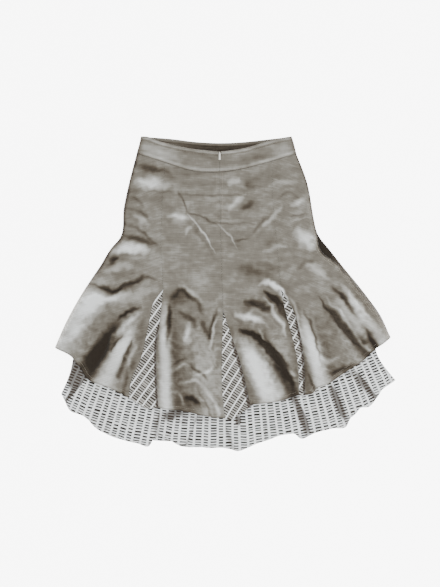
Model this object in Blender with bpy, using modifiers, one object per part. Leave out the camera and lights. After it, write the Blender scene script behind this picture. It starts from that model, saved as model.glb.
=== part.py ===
import math

import bmesh
import bpy
import numpy as np

# Gored linen skirt with three check godets over a longer check underskirt, laid flat with its
# zip side up. Tables are in millimetres: x across, y up towards the waist, z up from the surface.
# The origin is under the middle of the skirt, on the surface that it lies on.

MM = 0.001
TABLE_MIDDLE = (1.8, -1.8)

# Cloth thicknesses and the spaces between pieces
LINEN = 1.2
CHECK = 1.0
BAND = 1.6
TAPE = 0.6
SEAM_GAP = 0.4
LAYER_GAP = 0.3

# Heights of each layer's middle over the surface where the skirt is smooth
PLAIN_HEIGHT = LINEN / 2
PLAIN_BAND_HEIGHT = BAND / 2
LOWER_UNDERSKIRT_HEIGHT = LINEN + LAYER_GAP + CHECK / 2
FLOOR_UNDERSKIRT_HEIGHT = CHECK / 2
UPPER_UNDERSKIRT_HEIGHT = LOWER_UNDERSKIRT_HEIGHT + CHECK + LAYER_GAP
TAPE_HEIGHT = 4.8
ZIPSIDE_HEIGHT = 6.0
ZIPSIDE_BAND_HEIGHT = 6.2
GORE_EDGE_HEIGHT = LINEN + LAYER_GAP + LINEN / 2
BAND_EDGE_HEIGHT = BAND + LAYER_GAP + BAND / 2
EDGE_ROUND = 14.0
UNDER_RELIEF = 0.3
GODET_TUCK = 2.2
UNDERSKIRT_TOP_GAP = 3.0
LOWER_INSET = 6.0
TUCK_START = 20.0
TUCK_END = 6.0

# Rows of cloth from the yoke seam to the godet points, and from there to the hem
ROWS_ABOVE = 8
ROWS_BELOW = 9
OUTER_GORE_COLUMNS = 13
INNER_GORE_COLUMNS = 11
BAND_ROWS = 3
BAND_COLUMNS = 24
ZIP_BAND_ROWS = 7
TAPE_ROWS = 9
GODET_COLUMNS = {"left": 6, "centre": 7, "right": 4}
GODET_REACH = {"left": 8.0, "centre": 7.0, "right": 7.0}
GODET_POINT = 2.0
UNDERSKIRT_COLUMNS = 52
LOWER_UNDERSKIRT_COLUMNS = 34
HIDDEN_ROWS = 9
SHOWN_ROWS = 10
SHOWN_FROM = 0.74
PLAIN_COLUMNS = 12

# Seams, each as its points (x, y) from the yoke seam to the godet point, then on to the hem
SIDE_LEFT_UPPER = [(-220, 349), (-238, 280), (-252, 215), (-262, 138), (-284, 112), (-311, 68)]
SIDE_LEFT_LOWER = [(-311, 68), (-353, 5), (-396, -72), (-424, -135)]
PRINCESS_LEFT = [(-149, 326), (-156, 232), (-159, 128), (-153, 10)]
CENTRE = [(-12, 302), (-11, 212), (-9, 115), (-4, -42)]
PRINCESS_RIGHT = [(119, 330), (121, 230), (131, 125), (141, 8)]
SIDE_RIGHT_UPPER = [(180, 349), (206, 280), (224, 184), (231, 150), (241, 108), (284, 72)]
SIDE_RIGHT_LOWER = [(284, 72), (354, -12), (389, -58), (416, -110)]
PLAIN_RIGHT_UPPER = [(180, 349), (206, 280), (224, 184), (234, 148), (264, 108), (294, 70)]
PLAIN_RIGHT_LOWER = [(294, 70), (357, -8), (391, -56), (416, -110)]
PLAIN_CENTRE_LOWER = [(-4, -42), (-9, -160), (-10, -290)]
GODET_LEFT_SEAM = [(-153, 10), (-176, -22), (-190, -82), (-212, -172), (-231, -212), (-240, -261)]
GODET_LEFT_FOLD = [(-153, 10), (-157, -28), (-162, -78), (-169, -118), (-170, -192), (-165, -285)]
GODET_CENTRE_SEAM = [(-4, -42), (-5, -102), (-7, -198), (-6, -240), (1, -312)]
GODET_CENTRE_FOLD = [(-4, -42), (13, -95), (41, -178), (54, -232), (64, -279)]
GODET_RIGHT_SEAM = [(141, 8), (149, -32), (161, -80), (174, -130), (184, -188), (186, -255)]
GODET_RIGHT_FOLD = [(141, 8), (156, -15), (174, -48), (186, -92), (196, -148), (201, -254)]

# Edges across the skirt, each from left to right
YOKE_SEAM = [
    (-220, 349), (-182, 337), (-134, 321), (-83, 306), (-12, 302), (58, 313), (105, 326),
    (147, 338), (180, 349),
]
NEAR_WAIST_LEFT = [(-209, 392), (-194, 391), (-165, 380), (-127, 370), (-83, 361), (-38, 356), (-16, 354)]
NEAR_WAIST_RIGHT = [(-8, 354), (26, 358), (58, 364), (90, 374), (134, 386), (168, 392)]
BAND_SIDE_LEFT = [(-209, 392), (-212, 378), (-220, 349)]
BAND_SIDE_RIGHT = [(168, 392), (173, 376), (180, 349)]
FAR_WAIST = [(-209, 394), (-134, 388), (-70, 380), (-12, 377), (58, 380), (105, 385), (168, 392)]
HEM_OUTER_LEFT = [(-424, -135), (-382, -158), (-359, -190), (-346, -212), (-292, -232), (-240, -261)]
HEM_GODET_LEFT = [(-240, -261), (-219, -273), (-196, -282), (-160, -275)]
HEM_INNER_LEFT = [(-165, -285), (-101, -295), (-30, -308), (1, -311)]
HEM_GODET_CENTRE = [(1, -312), (11, -316), (39, -298), (70, -272)]
HEM_INNER_RIGHT = [(64, -279), (106, -272), (161, -263), (186, -255)]
HEM_GODET_RIGHT = [(186, -255), (196, -252), (207, -248)]
HEM_OUTER_RIGHT = [
    (201, -254), (219, -250), (228, -238), (264, -222), (301, -198), (351, -165), (379, -138),
    (416, -110),
]
PLAIN_HEM = [
    (-424, -135), (-350, -180), (-240, -248), (-120, -282), (-10, -290), (110, -272), (220, -232),
    (330, -172), (416, -110),
]

# The underskirt's side edges from the yoke seam down, and its hems from left to right
UNDERSKIRT_LEFT = [
    (-209, 335), (-229, 275), (-243, 210), (-250, 132), (-293, 72), (-337, 0), (-371, -80),
    (-376, -142), (-389, -208), (-408, -252),
]
UNDERSKIRT_RIGHT = [
    (168, 335), (194, 272), (212, 180), (222, 108), (270, 66), (337, -18), (371, -98), (384, -158),
    (410, -197), (428, -218),
]
UPPER_HEM = [
    (-408, -252), (-399, -272), (-386, -295), (-352, -306), (-322, -338), (-285, -358), (-222, -374),
    (-190, -384), (-174, -362), (-158, -358), (-106, -384), (-51, -386), (10, -390), (32, -396),
    (65, -382), (104, -370), (157, -352), (174, -352), (190, -364), (228, -350), (266, -338),
    (305, -335), (315, -315), (341, -286), (361, -284), (380, -265), (396, -240), (428, -218),
]
LOWER_HEM = [
    (-398, -250), (-372, -282), (-330, -318), (-285, -345), (-222, -362), (-165, -371), (-106, -372),
    (10, -378), (104, -360), (185, -341), (265, -328), (324, -308), (350, -276), (386, -245),
    (416, -218),
]

# Large folds of the zip side: start and end on the cloth, half width at each, and height.
# A fold grows from nothing at its start, and runs out over the hem.
FOLD_COLUMNS = ("start", "end", "width_start", "width_end", "height")
LINEN_FOLDS = [
    ((-256, -60), (-356, -212), 12, 24, -12),
    ((-270, 90), (-396, -112), 24, 46, 14),
    ((-205, -20), (-296, -228), 18, 34, 19),
    ((-226, -115), (-251, -172), 8, 8, -5),
    ((-164, -30), (-210, -275), 9, 18, -7),
    ((-148, 10), (-146, -282), 12, 20, 16),
    ((-60, -20), (-41, -298), 30, 40, 7),
    ((-2, -62), (22, -288), 8, 15, -7),
    ((30, -80), (109, -262), 18, 30, 20),
    ((76, -66), (170, -250), 9, 13, -7),
    ((184, -30), (244, -232), 14, 28, 18),
    ((236, -8), (345, -136), 9, 16, -8),
    ((262, 20), (384, -120), 18, 30, 13),
]
UNDERSKIRT_FOLDS = [
    ((-311, -232), (-351, -302), 14, 18, 12),
    ((-219, -278), (-236, -368), 16, 20, 12),
    ((-119, -292), (-131, -368), 14, 17, 10),
    ((-36, -305), (-36, -385), 12, 16, 9),
    ((46, -292), (61, -382), 12, 17, 12),
    ((139, -270), (154, -352), 14, 17, 10),
    ((234, -238), (259, -338), 14, 18, 12),
    ((294, -205), (344, -282), 12, 15, 10),
    ((354, -162), (409, -232), 10, 13, 9),
    ((-174, -300), (-170, -362), 7, 8, -5),
    ((-4, -318), (21, -392), 7, 9, -5),
    ((182, -262), (208, -358), 7, 9, -5),
    ((268, -230), (304, -318), 7, 9, -5),
]
HEM_LIFT = 6.0
LIFT_TOP = 160.0
LIFT_BOTTOM = -120.0
DRAPE_REACH = 26.0
DROP_START = 22.0
DROP_END = 44.0
RUFFLE_LIFT = 4.5

# Concealed zip at the centre of the zip side
ZIP_X = -12.0
TAPE_WIDTH = 24.0
TAPE_TOP = 348.0
TAPE_BOTTOM = 170.0
NOTCH_HALF = 3.0
NOTCH_FOOT = 337.0
NOTCH_TOP = 344.0
SLIDER_SIZE = (5.0, 8.0, 1.6)
SLIDER_Y = 350.0
SLIDER_BASE = 5.9
BRIDGE_SIZE = (4.6, 1.0, 4.6)
WINDOW_SIZE = (3.0, 2.2)
BAR = 1.0
EYE_OUTER = 1.8
EYE_INNER = 1.0
EYE_WIDTH = 2.0
TAB_LENGTH = 17.0
TAB_WIDTH = 4.4
TAB_THICKNESS = 0.9
TAB_DROP = math.radians(5.0)

LINEN_COLOUR = (0.36, 0.335, 0.29, 1.0)
BAND_COLOUR = (0.37, 0.34, 0.29, 1.0)
CHECK_COLOUR = (0.56, 0.55, 0.51, 1.0)
TAPE_COLOUR = (0.20, 0.17, 0.13, 1.0)
METAL_COLOUR = (0.25, 0.22, 0.18, 1.0)


def smooth_line(points, fractions):
    # Points at these fractions of the way along a smooth curve through a table's points
    table = np.array(points, float)
    steps = np.hypot(*np.diff(table, axis=0).T)
    knots = np.concatenate([[0.0], np.cumsum(steps)]) / steps.sum()
    slopes = np.gradient(table, knots, axis=0)
    where = np.clip(np.asarray(fractions, float), 0.0, 1.0)
    span = np.clip(np.searchsorted(knots, where, side="right") - 1, 0, len(knots) - 2)
    width = (knots[span + 1] - knots[span])[:, None]
    t = (where - knots[span])[:, None] / width
    start = (2 * t ** 3 - 3 * t ** 2 + 1) * table[span] + (t ** 3 - 2 * t ** 2 + t) * width * slopes[span]
    end = (3 * t ** 2 - 2 * t ** 3) * table[span + 1] + (t ** 3 - t ** 2) * width * slopes[span + 1]
    return start + end


def seam(upper, lower):
    # A seam's point in each row of cloth, above and below the godet points
    above = smooth_line(upper, np.linspace(0, 1, ROWS_ABOVE + 1))
    below = smooth_line(lower, np.linspace(0, 1, ROWS_BELOW + 1))
    return np.vstack([above, below[1:]])


def patch(top, bottom, left, right, across, down):
    # Cloth filled in smoothly between four edge curves
    u = across[None, :, None]
    v = down[:, None, None]
    between_ends = (1 - v) * top[None] + v * bottom[None]
    between_sides = (1 - u) * left[:, None] + u * right[:, None]
    upper_corners = (1 - u) * left[0] + u * right[0]
    lower_corners = (1 - u) * left[-1] + u * right[-1]
    return between_ends + between_sides - (1 - v) * upper_corners - v * lower_corners


def rise(value, low, high):
    # 0 at low, 1 at high, with a smooth change between them
    t = np.clip((value - low) / (high - low), 0.0, 1.0)
    return t * t * (3 - 2 * t)


def line_at(points, x):
    # y of an edge that runs from left to right, at each x
    table = np.array(points, float)
    return np.interp(x, table[:, 0], table[:, 1])


def fold_heights(x, y, folds):
    total = np.zeros_like(x)
    for row in folds:
        fold = dict(zip(FOLD_COLUMNS, row))
        start = np.array(fold["start"], float)
        run = np.array(fold["end"], float) - start
        along = ((x - start[0]) * run[0] + (y - start[1]) * run[1]) / (run @ run)
        near = np.clip(along, 0.0, 1.6)
        aside = np.hypot(x - start[0] - near * run[0], y - start[1] - near * run[1])
        width = fold["width_start"] + (fold["width_end"] - fold["width_start"]) * np.clip(near, 0, 1)
        total += fold["height"] * rise(near, 0.0, 0.6) * np.exp(-(aside / width) ** 2)
    return total


def above_nothing(height):
    # Keeps a height over zero without a crease
    return (height + np.sqrt(height ** 2 + 4.0)) / 2


def linen_relief(x, y):
    lift = HEM_LIFT * (1 - rise(y, LIFT_BOTTOM, LIFT_TOP))
    return above_nothing(lift + fold_heights(x, y, LINEN_FOLDS))


def linen_hem():
    return HEM_OUTER_LEFT + HEM_GODET_LEFT[1:-1] + HEM_INNER_LEFT + HEM_GODET_CENTRE[1:-1] \
        + HEM_INNER_RIGHT + HEM_OUTER_RIGHT


def upper_underskirt_height(x, y):
    # The underskirt follows the linen's folds above it, and takes its own ruffles past the hem
    shown = rise(line_at(linen_hem(), x) - y, 0.0, DRAPE_REACH)
    hidden_relief = UNDER_RELIEF * linen_relief(x, y)
    own_relief = above_nothing(RUFFLE_LIFT + fold_heights(x, y, UNDERSKIRT_FOLDS))
    drop = (UPPER_UNDERSKIRT_HEIGHT - LOWER_UNDERSKIRT_HEIGHT) * shown
    return UPPER_UNDERSKIRT_HEIGHT - drop + (1 - shown) * hidden_relief + shown * own_relief


def lower_underskirt_height(x, y):
    past_hem = rise(line_at(PLAIN_HEM, x) - y, DROP_START, DROP_END)
    return LOWER_UNDERSKIRT_HEIGHT + (FLOOR_UNDERSKIRT_HEIGHT - LOWER_UNDERSKIRT_HEIGHT) * past_hem


def rounded_to_edges(height, edge_height, distance):
    # The laid cloth turns down over its layers at the side seams
    t = np.clip(distance / EDGE_ROUND, 0.0, 1.0)
    return edge_height + (height - edge_height) * np.sqrt(1 - (1 - t) ** 2)


def distance_to(points, edge):
    offset = points[:, :, None, :] - edge[None, None, :, :]
    return np.sqrt((offset ** 2).sum(axis=3)).min(axis=2)


def edge_columns(count, left_edge, right_edge):
    # Columns of cloth, closer together where a side edge turns down
    extra = np.array([0.018, 0.05])
    columns = np.linspace(0, 1, count + 1)
    if left_edge:
        columns = np.concatenate([columns, extra])
    if right_edge:
        columns = np.concatenate([columns, 1 - extra])
    return np.sort(columns)


def add_cloth(name, points, heights, thickness, colour, roughness=0.9):
    # A wall of cloth: an open sheet through the points, thickened about its middle
    rows, columns = heights.shape
    corners = []
    for row in range(rows):
        for column in range(columns):
            x, y = points[row, column]
            place = (x - TABLE_MIDDLE[0], y - TABLE_MIDDLE[1], heights[row, column])
            corners.append([value * MM for value in place])
    faces = []
    for row in range(rows - 1):
        for column in range(columns - 1):
            first = row * columns + column
            faces.append((first, first + columns, first + columns + 1, first + 1))
    mesh = bpy.data.meshes.new(name)
    mesh.from_pydata(corners, [], faces)
    mesh.shade_smooth()
    cloth = bpy.data.objects.new(name, mesh)
    wall = cloth.modifiers.new("wall", "SOLIDIFY")
    wall.thickness = thickness * MM
    wall.offset = 0.0
    finish(cloth, colour, roughness, 0.0)
    return cloth


def finish(piece, colour, roughness, metallic):
    material = bpy.data.materials.new(piece.name)
    material.use_nodes = True
    shader = material.node_tree.nodes["Principled BSDF"]
    shader.inputs["Base Color"].default_value = colour
    shader.inputs["Roughness"].default_value = roughness
    shader.inputs["Metallic"].default_value = metallic
    material.diffuse_color = colour
    piece.data.materials.append(material)
    skirt.objects.link(piece)


def side_seams():
    # Every seam of the zip side as its row points, a little apart for the pieces on each side
    return {
        "side_left": seam(SIDE_LEFT_UPPER, SIDE_LEFT_LOWER),
        "outer_left": seam(PRINCESS_LEFT, GODET_LEFT_SEAM),
        "inner_left": seam(PRINCESS_LEFT, GODET_LEFT_FOLD),
        "centre_left": seam(CENTRE, GODET_CENTRE_SEAM),
        "centre_right": seam(CENTRE, GODET_CENTRE_FOLD),
        "inner_right": seam(PRINCESS_RIGHT, GODET_RIGHT_SEAM),
        "outer_right": seam(PRINCESS_RIGHT, GODET_RIGHT_FOLD),
        "side_right": seam(SIDE_RIGHT_UPPER, SIDE_RIGHT_LOWER),
    }


def gore_rows():
    above = np.linspace(0, 0.5, ROWS_ABOVE + 1)
    below = np.linspace(0.5, 1, ROWS_BELOW + 1)
    return np.concatenate([above, below[1:]])


def yoke_points(left_x, right_x, columns, side):
    # The yoke seam between two seams' tops, moved to one side of the seam line
    x = left_x + (right_x - left_x) * columns
    curve = smooth_line(YOKE_SEAM, np.linspace(0, 1, 200))
    y = np.interp(x, curve[:, 0], curve[:, 1]) + side * SEAM_GAP / 2
    return np.stack([x, y], axis=1)


def add_gore(place, left, right, hem, columns, edge_line=None):
    half_gap = np.array([SEAM_GAP / 2, 0.0])
    left = left + (0 if edge_line == "left" else half_gap)
    right = right - (0 if edge_line == "right" else half_gap)
    top = yoke_points(left[0, 0], right[0, 0], columns, -1)
    bottom = smooth_line(hem, columns)
    bottom += (left[-1] - bottom[0]) * (1 - columns[:, None])
    bottom += (right[-1] - bottom[-1]) * columns[:, None]
    left = left + (top[0] - left[0]) * (np.arange(len(left)) == 0)[:, None]
    right = right + (top[-1] - right[0]) * (np.arange(len(right)) == 0)[:, None]
    points = patch(top, bottom, left, right, columns, gore_rows())
    heights = ZIPSIDE_HEIGHT + linen_relief(points[..., 0], points[..., 1])
    if edge_line == "left":
        heights = rounded_to_edges(heights, GORE_EDGE_HEIGHT, distance_to(points, left))
    if edge_line == "right":
        heights = rounded_to_edges(heights, GORE_EDGE_HEIGHT, distance_to(points, right))
    add_cloth("gore_" + place, points, heights, LINEN, LINEN_COLOUR)


def add_godet(place, seam_side, fold_side, hem):
    # A godet lies sewn along its left seam, and its right edge runs under the next gore's fold
    rows = ROWS_BELOW + 1
    down = np.linspace(0, 1, rows)
    left = seam_side[-rows:] + np.array([SEAM_GAP / 2, 0.0])
    right = fold_side[-rows:] + np.stack([GODET_REACH[place] * rise(down, 0, 0.3), 0 * down], axis=1)
    right[0] = left[0] + np.array([GODET_POINT, 0.0])
    across = np.linspace(0, 1, GODET_COLUMNS[place] + 1)
    top = left[0] + across[:, None] * (right[0] - left[0])
    bottom = smooth_line(hem, across)
    bottom += (left[-1] - bottom[0]) * (1 - across[:, None])
    bottom += (right[-1] - bottom[-1]) * across[:, None]
    points = patch(top, bottom, left, right, across, down)
    points[..., 1] -= SEAM_GAP * (1 - down)[:, None]
    past_fold = points[..., 0] - fold_side[-rows:, :1]
    sunk = GODET_TUCK * rise(past_fold, -TUCK_START, -TUCK_END)
    heights = ZIPSIDE_HEIGHT + linen_relief(points[..., 0], points[..., 1]) - sunk
    add_cloth("godet_" + place, points, heights, CHECK, CHECK_COLOUR)


def add_zipside_gores():
    seams = side_seams()
    outer_left = edge_columns(OUTER_GORE_COLUMNS, True, False)
    outer_right = edge_columns(OUTER_GORE_COLUMNS, False, True)
    inner = edge_columns(INNER_GORE_COLUMNS, False, False)
    add_gore("outer_left", seams["side_left"], seams["outer_left"], HEM_OUTER_LEFT, outer_left, "left")
    add_gore("inner_left", seams["inner_left"], seams["centre_left"], HEM_INNER_LEFT, inner)
    add_gore("inner_right", seams["centre_right"], seams["inner_right"], HEM_INNER_RIGHT, inner)
    add_gore("outer_right", seams["outer_right"], seams["side_right"], HEM_OUTER_RIGHT, outer_right, "right")
    add_godet("left", seams["outer_left"], seams["inner_left"], HEM_GODET_LEFT)
    add_godet("centre", seams["centre_left"], seams["centre_right"], HEM_GODET_CENTRE)
    add_godet("right", seams["inner_right"], seams["outer_right"], HEM_GODET_RIGHT)
    return outer_left, inner, outer_right


def notch_edge(side):
    # The band's centre edge by the zip, which opens to a small notch for the slider
    y = np.linspace(NEAR_WAIST_LEFT[-1][1], CENTRE[0][1], ZIP_BAND_ROWS + 1)
    half = SEAM_GAP + NOTCH_HALF * rise(y, NOTCH_FOOT, NOTCH_TOP)
    return np.stack([ZIP_X + side * half, y], axis=1)


def add_zipside_band(name, waist, side_line, columns, left_half):
    down = np.linspace(0, 1, ZIP_BAND_ROWS + 1)
    centre = notch_edge(-1 if left_half else 1)
    left_x, right_x = (side_line[-1][0], centre[-1, 0]) if left_half else (centre[-1, 0], side_line[-1][0])
    bottom = yoke_points(left_x, right_x, columns, 1)
    top = smooth_line(waist, columns)
    side = smooth_line(side_line, down)
    left, right = (side, centre) if left_half else (centre, side)
    left = left + (bottom[0] - left[-1]) * down[:, None]
    right = right + (bottom[-1] - right[-1]) * down[:, None]
    top += (left[0] - top[0]) * (1 - columns[:, None])
    top += (right[0] - top[-1]) * columns[:, None]
    points = patch(top, bottom, left, right, columns, down)
    heights = ZIPSIDE_BAND_HEIGHT + linen_relief(points[..., 0], points[..., 1])
    edge = left if left_half else right
    heights = rounded_to_edges(heights, BAND_EDGE_HEIGHT, distance_to(points, edge))
    add_cloth(name, points, heights, BAND, BAND_COLOUR)


def add_bands(outer_left, inner, outer_right):
    # Each band half has the columns of the two gores sewn to it
    seams = side_seams()
    tops = {name: points[0, 0] for name, points in seams.items()}
    split_left = (tops["outer_left"] - tops["side_left"]) / (tops["centre_left"] - tops["side_left"])
    left_columns = np.concatenate([outer_left * split_left, split_left + inner[1:] * (1 - split_left)])
    split_right = (tops["inner_right"] - tops["centre_right"]) / (tops["side_right"] - tops["centre_right"])
    right_columns = np.concatenate([inner * split_right, split_right + outer_right[1:] * (1 - split_right)])
    add_zipside_band("waistband_zipside_left", NEAR_WAIST_LEFT, BAND_SIDE_LEFT, left_columns, True)
    add_zipside_band("waistband_zipside_right", NEAR_WAIST_RIGHT, BAND_SIDE_RIGHT, right_columns, False)

    across = np.linspace(0, 1, BAND_COLUMNS + 1)
    down = np.linspace(0, 1, BAND_ROWS + 1)
    top = smooth_line(FAR_WAIST, across)
    bottom = yoke_points(YOKE_SEAM[0][0], YOKE_SEAM[-1][0], across, 1)
    left = smooth_line(BAND_SIDE_LEFT, down)
    right = smooth_line(BAND_SIDE_RIGHT, down)
    top += (left[0] - top[0]) * (1 - across[:, None])
    top += (right[0] - top[-1]) * across[:, None]
    left = left + (bottom[0] - left[-1]) * down[:, None]
    right = right + (bottom[-1] - right[-1]) * down[:, None]
    points = patch(top, bottom, left, right, across, down)
    heights = np.full(points.shape[:2], PLAIN_BAND_HEIGHT)
    add_cloth("waistband_plainside", points, heights, BAND, BAND_COLOUR)


def add_plain_gores():
    columns = np.linspace(0, 1, PLAIN_COLUMNS + 1)
    centre = seam(CENTRE, PLAIN_CENTRE_LOWER)
    left_edge = seam(SIDE_LEFT_UPPER, SIDE_LEFT_LOWER)
    right_edge = seam(PLAIN_RIGHT_UPPER, PLAIN_RIGHT_LOWER)
    half_gap = np.array([SEAM_GAP / 2, 0.0])
    sides = {
        "plain_gore_left": (left_edge, centre - half_gap, PLAIN_HEM[:5]),
        "plain_gore_right": (centre + half_gap, right_edge, PLAIN_HEM[4:]),
    }
    for name, (left, right, hem) in sides.items():
        top = yoke_points(left[0, 0], right[0, 0], columns, -1)
        left = left + (top[0] - left[0]) * (np.arange(len(left)) == 0)[:, None]
        right = right + (top[-1] - right[0]) * (np.arange(len(right)) == 0)[:, None]
        bottom = smooth_line(hem, columns)
        bottom += (left[-1] - bottom[0]) * (1 - columns[:, None])
        bottom += (right[-1] - bottom[-1]) * columns[:, None]
        points = patch(top, bottom, left, right, columns, gore_rows())
        add_cloth(name, points, np.full(points.shape[:2], PLAIN_HEIGHT), LINEN, LINEN_COLOUR)


def add_underskirt(side, hem, columns, inset, height):
    # Few rows where the linen covers it, and close rows where it shows
    down = np.concatenate([np.linspace(0, SHOWN_FROM, HIDDEN_ROWS), np.linspace(SHOWN_FROM, 1, SHOWN_ROWS)[1:]])
    across = np.linspace(0, 1, columns + 1)
    left = smooth_line(UNDERSKIRT_LEFT, down) + np.array([inset, 0.0])
    right = smooth_line(UNDERSKIRT_RIGHT, down) - np.array([inset, 0.0])
    top = yoke_points(left[0, 0], right[0, 0], across, -1)
    top[:, 1] -= UNDERSKIRT_TOP_GAP + inset
    left[0] = top[0]
    right[0] = top[-1]
    bottom = smooth_line(hem, across)
    left = left + (bottom[0] - left[-1]) * rise(down, 0.8, 1.0)[:, None]
    right = right + (bottom[-1] - right[-1]) * rise(down, 0.8, 1.0)[:, None]
    points = patch(top, bottom, left, right, across, down)
    heights = height(points[..., 0], points[..., 1])
    add_cloth("underskirt_" + side, points, heights, CHECK, CHECK_COLOUR)


def add_box(name, size, centre):
    box = bpy.data.meshes.new(name)
    shape = bmesh.new()
    bmesh.ops.create_cube(shape, size=1.0)
    bmesh.ops.scale(shape, vec=[side * MM for side in size], verts=shape.verts)
    shape.to_mesh(box)
    shape.free()
    piece = bpy.data.objects.new(name, box)
    piece.location = [value * MM for value in centre]
    return piece


def add_rod(name, radius, length, centre):
    # A rod along X
    rod = bpy.data.meshes.new(name)
    shape = bmesh.new()
    bmesh.ops.create_cone(
        shape, cap_ends=True, segments=24, radius1=radius * MM, radius2=radius * MM, depth=length * MM)
    shape.to_mesh(rod)
    shape.free()
    piece = bpy.data.objects.new(name, rod)
    piece.rotation_euler = (0, math.pi / 2, 0)
    piece.location = [value * MM for value in centre]
    return piece


def guide(piece):
    piece.hide_render = True
    piece.display_type = "WIRE"
    cutters.objects.link(piece)


def shape_with(piece, operation, other):
    step = piece.modifiers.new(other.name, "BOOLEAN")
    step.operation = operation
    step.solver = "EXACT"
    step.object = other
    guide(other)


def add_zip():
    down = np.linspace(TAPE_TOP, TAPE_BOTTOM, TAPE_ROWS + 1)
    x = ZIP_X + np.linspace(-0.5, 0.5, 3) * TAPE_WIDTH
    points = np.stack(np.meshgrid(x, down), axis=2)
    centre_line = smooth_line(CENTRE, (302 - np.minimum(down, 302)) / (302 + 42))
    points[..., 0] += (centre_line[:, 0] - ZIP_X)[:, None]
    heights = TAPE_HEIGHT + UNDER_RELIEF * linen_relief(points[..., 0], points[..., 1])
    add_cloth("zip_tape", points, heights, TAPE, TAPE_COLOUR, 0.7)

    middle = ZIP_X - TABLE_MIDDLE[0]
    slider_y = SLIDER_Y - TABLE_MIDDLE[1]
    top = SLIDER_BASE + SLIDER_SIZE[2]
    bar_height = top + WINDOW_SIZE[1] + BAR / 2
    slider = add_box("zip_slider", SLIDER_SIZE, (middle, slider_y, SLIDER_BASE + SLIDER_SIZE[2] / 2))
    bridge_centre = bar_height + BAR / 2 - BRIDGE_SIZE[2] / 2
    shape_with(slider, "UNION", add_box("slider_bridge", BRIDGE_SIZE, (middle, slider_y, bridge_centre)))
    window = (WINDOW_SIZE[0], 4.0, WINDOW_SIZE[1])
    shape_with(slider, "DIFFERENCE", add_box("slider_window", window, (middle, slider_y, top + window[2] / 2)))
    finish(slider, METAL_COLOUR, 0.35, 1.0)

    pull = add_rod("zip_pull", EYE_OUTER, EYE_WIDTH, (middle, slider_y, bar_height))
    reach = (TAB_LENGTH + EYE_INNER) / 2
    tab_size = (TAB_WIDTH, TAB_LENGTH - EYE_INNER, TAB_THICKNESS)
    tab_centre = (middle, slider_y - reach * math.cos(TAB_DROP), bar_height - reach * math.sin(TAB_DROP))
    tab = add_box("pull_tab", tab_size, tab_centre)
    tab.rotation_euler = (TAB_DROP, 0, 0)
    shape_with(pull, "UNION", tab)
    eye = add_rod("pull_eye", EYE_INNER, 2 * TAB_WIDTH, (middle, slider_y, bar_height))
    shape_with(pull, "DIFFERENCE", eye)
    finish(pull, METAL_COLOUR, 0.3, 1.0)


for existing in list(bpy.data.objects):
    bpy.data.objects.remove(existing)
skirt = bpy.data.collections.new("asymmetric_skirt")
cutters = bpy.data.collections.new("cutters")
bpy.context.scene.collection.children.link(skirt)
bpy.context.scene.collection.children.link(cutters)

add_plain_gores()
add_underskirt("plainside", LOWER_HEM, LOWER_UNDERSKIRT_COLUMNS, LOWER_INSET, lower_underskirt_height)
add_underskirt("zipside", UPPER_HEM, UNDERSKIRT_COLUMNS, 0.0, upper_underskirt_height)
gore_columns = add_zipside_gores()
add_bands(*gore_columns)
add_zip()
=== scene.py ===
import math

import bpy
import numpy as np
from mathutils.bvhtree import BVHTree
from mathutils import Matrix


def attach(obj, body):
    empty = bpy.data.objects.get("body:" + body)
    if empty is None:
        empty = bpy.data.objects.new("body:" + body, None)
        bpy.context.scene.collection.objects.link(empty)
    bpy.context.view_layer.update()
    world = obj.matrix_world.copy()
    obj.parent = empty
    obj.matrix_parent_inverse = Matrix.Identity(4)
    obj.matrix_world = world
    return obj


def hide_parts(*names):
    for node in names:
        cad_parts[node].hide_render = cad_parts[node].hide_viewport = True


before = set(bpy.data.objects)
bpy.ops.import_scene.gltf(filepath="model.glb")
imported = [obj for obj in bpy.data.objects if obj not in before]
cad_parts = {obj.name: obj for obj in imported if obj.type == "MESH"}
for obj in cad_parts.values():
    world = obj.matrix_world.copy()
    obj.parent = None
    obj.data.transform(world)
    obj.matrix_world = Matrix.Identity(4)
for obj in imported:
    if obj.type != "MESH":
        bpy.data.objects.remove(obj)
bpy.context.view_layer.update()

mm = 0.001
tableMiddle = (1.8, -1.8)  # the tables' own middle, in mm
photo = {"mmPerPixel": 2.5, "middle": (224.5, 293.0), "frameMiddle": (220.0, 293.5), "frameHeight": 587}


# The tables below are in mm, as in the solids: x across, y up to the waist, z up from the surface
sideLeftUpper = [(-220, 349), (-238, 280), (-252, 215), (-262, 138), (-284, 112), (-311, 68)]
sideLeftLower = [(-311, 68), (-353, 5), (-396, -72), (-424, -135)]
princessLeft = [(-149, 326), (-156, 232), (-159, 128), (-153, 10)]
centreSeam = [(-12, 302), (-11, 212), (-9, 115), (-4, -42)]
princessRight = [(119, 330), (121, 230), (131, 125), (141, 8)]
sideRightUpper = [(180, 349), (206, 280), (224, 184), (231, 150), (241, 108), (284, 72)]
sideRightLower = [(284, 72), (354, -12), (389, -58), (416, -110)]
plainRightUpper = [(180, 349), (206, 280), (224, 184), (234, 148), (264, 108), (294, 70)]
plainRightLower = [(294, 70), (357, -8), (391, -56), (416, -110)]
plainCentreLower = [(-4, -42), (-9, -160), (-10, -290)]
godetLeftSeam = [(-153, 10), (-176, -22), (-190, -82), (-212, -172), (-231, -212), (-240, -261)]
godetLeftFold = [(-153, 10), (-157, -28), (-162, -78), (-169, -118), (-170, -192), (-165, -285)]
godetCentreSeam = [(-4, -42), (-5, -102), (-7, -198), (-6, -240), (1, -312)]
godetCentreFold = [(-4, -42), (13, -95), (41, -178), (54, -232), (64, -279)]
godetRightSeam = [(141, 8), (149, -32), (161, -80), (174, -130), (184, -188), (186, -255)]
godetRightFold = [(141, 8), (156, -15), (174, -48), (186, -92), (196, -148), (201, -254)]
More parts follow.
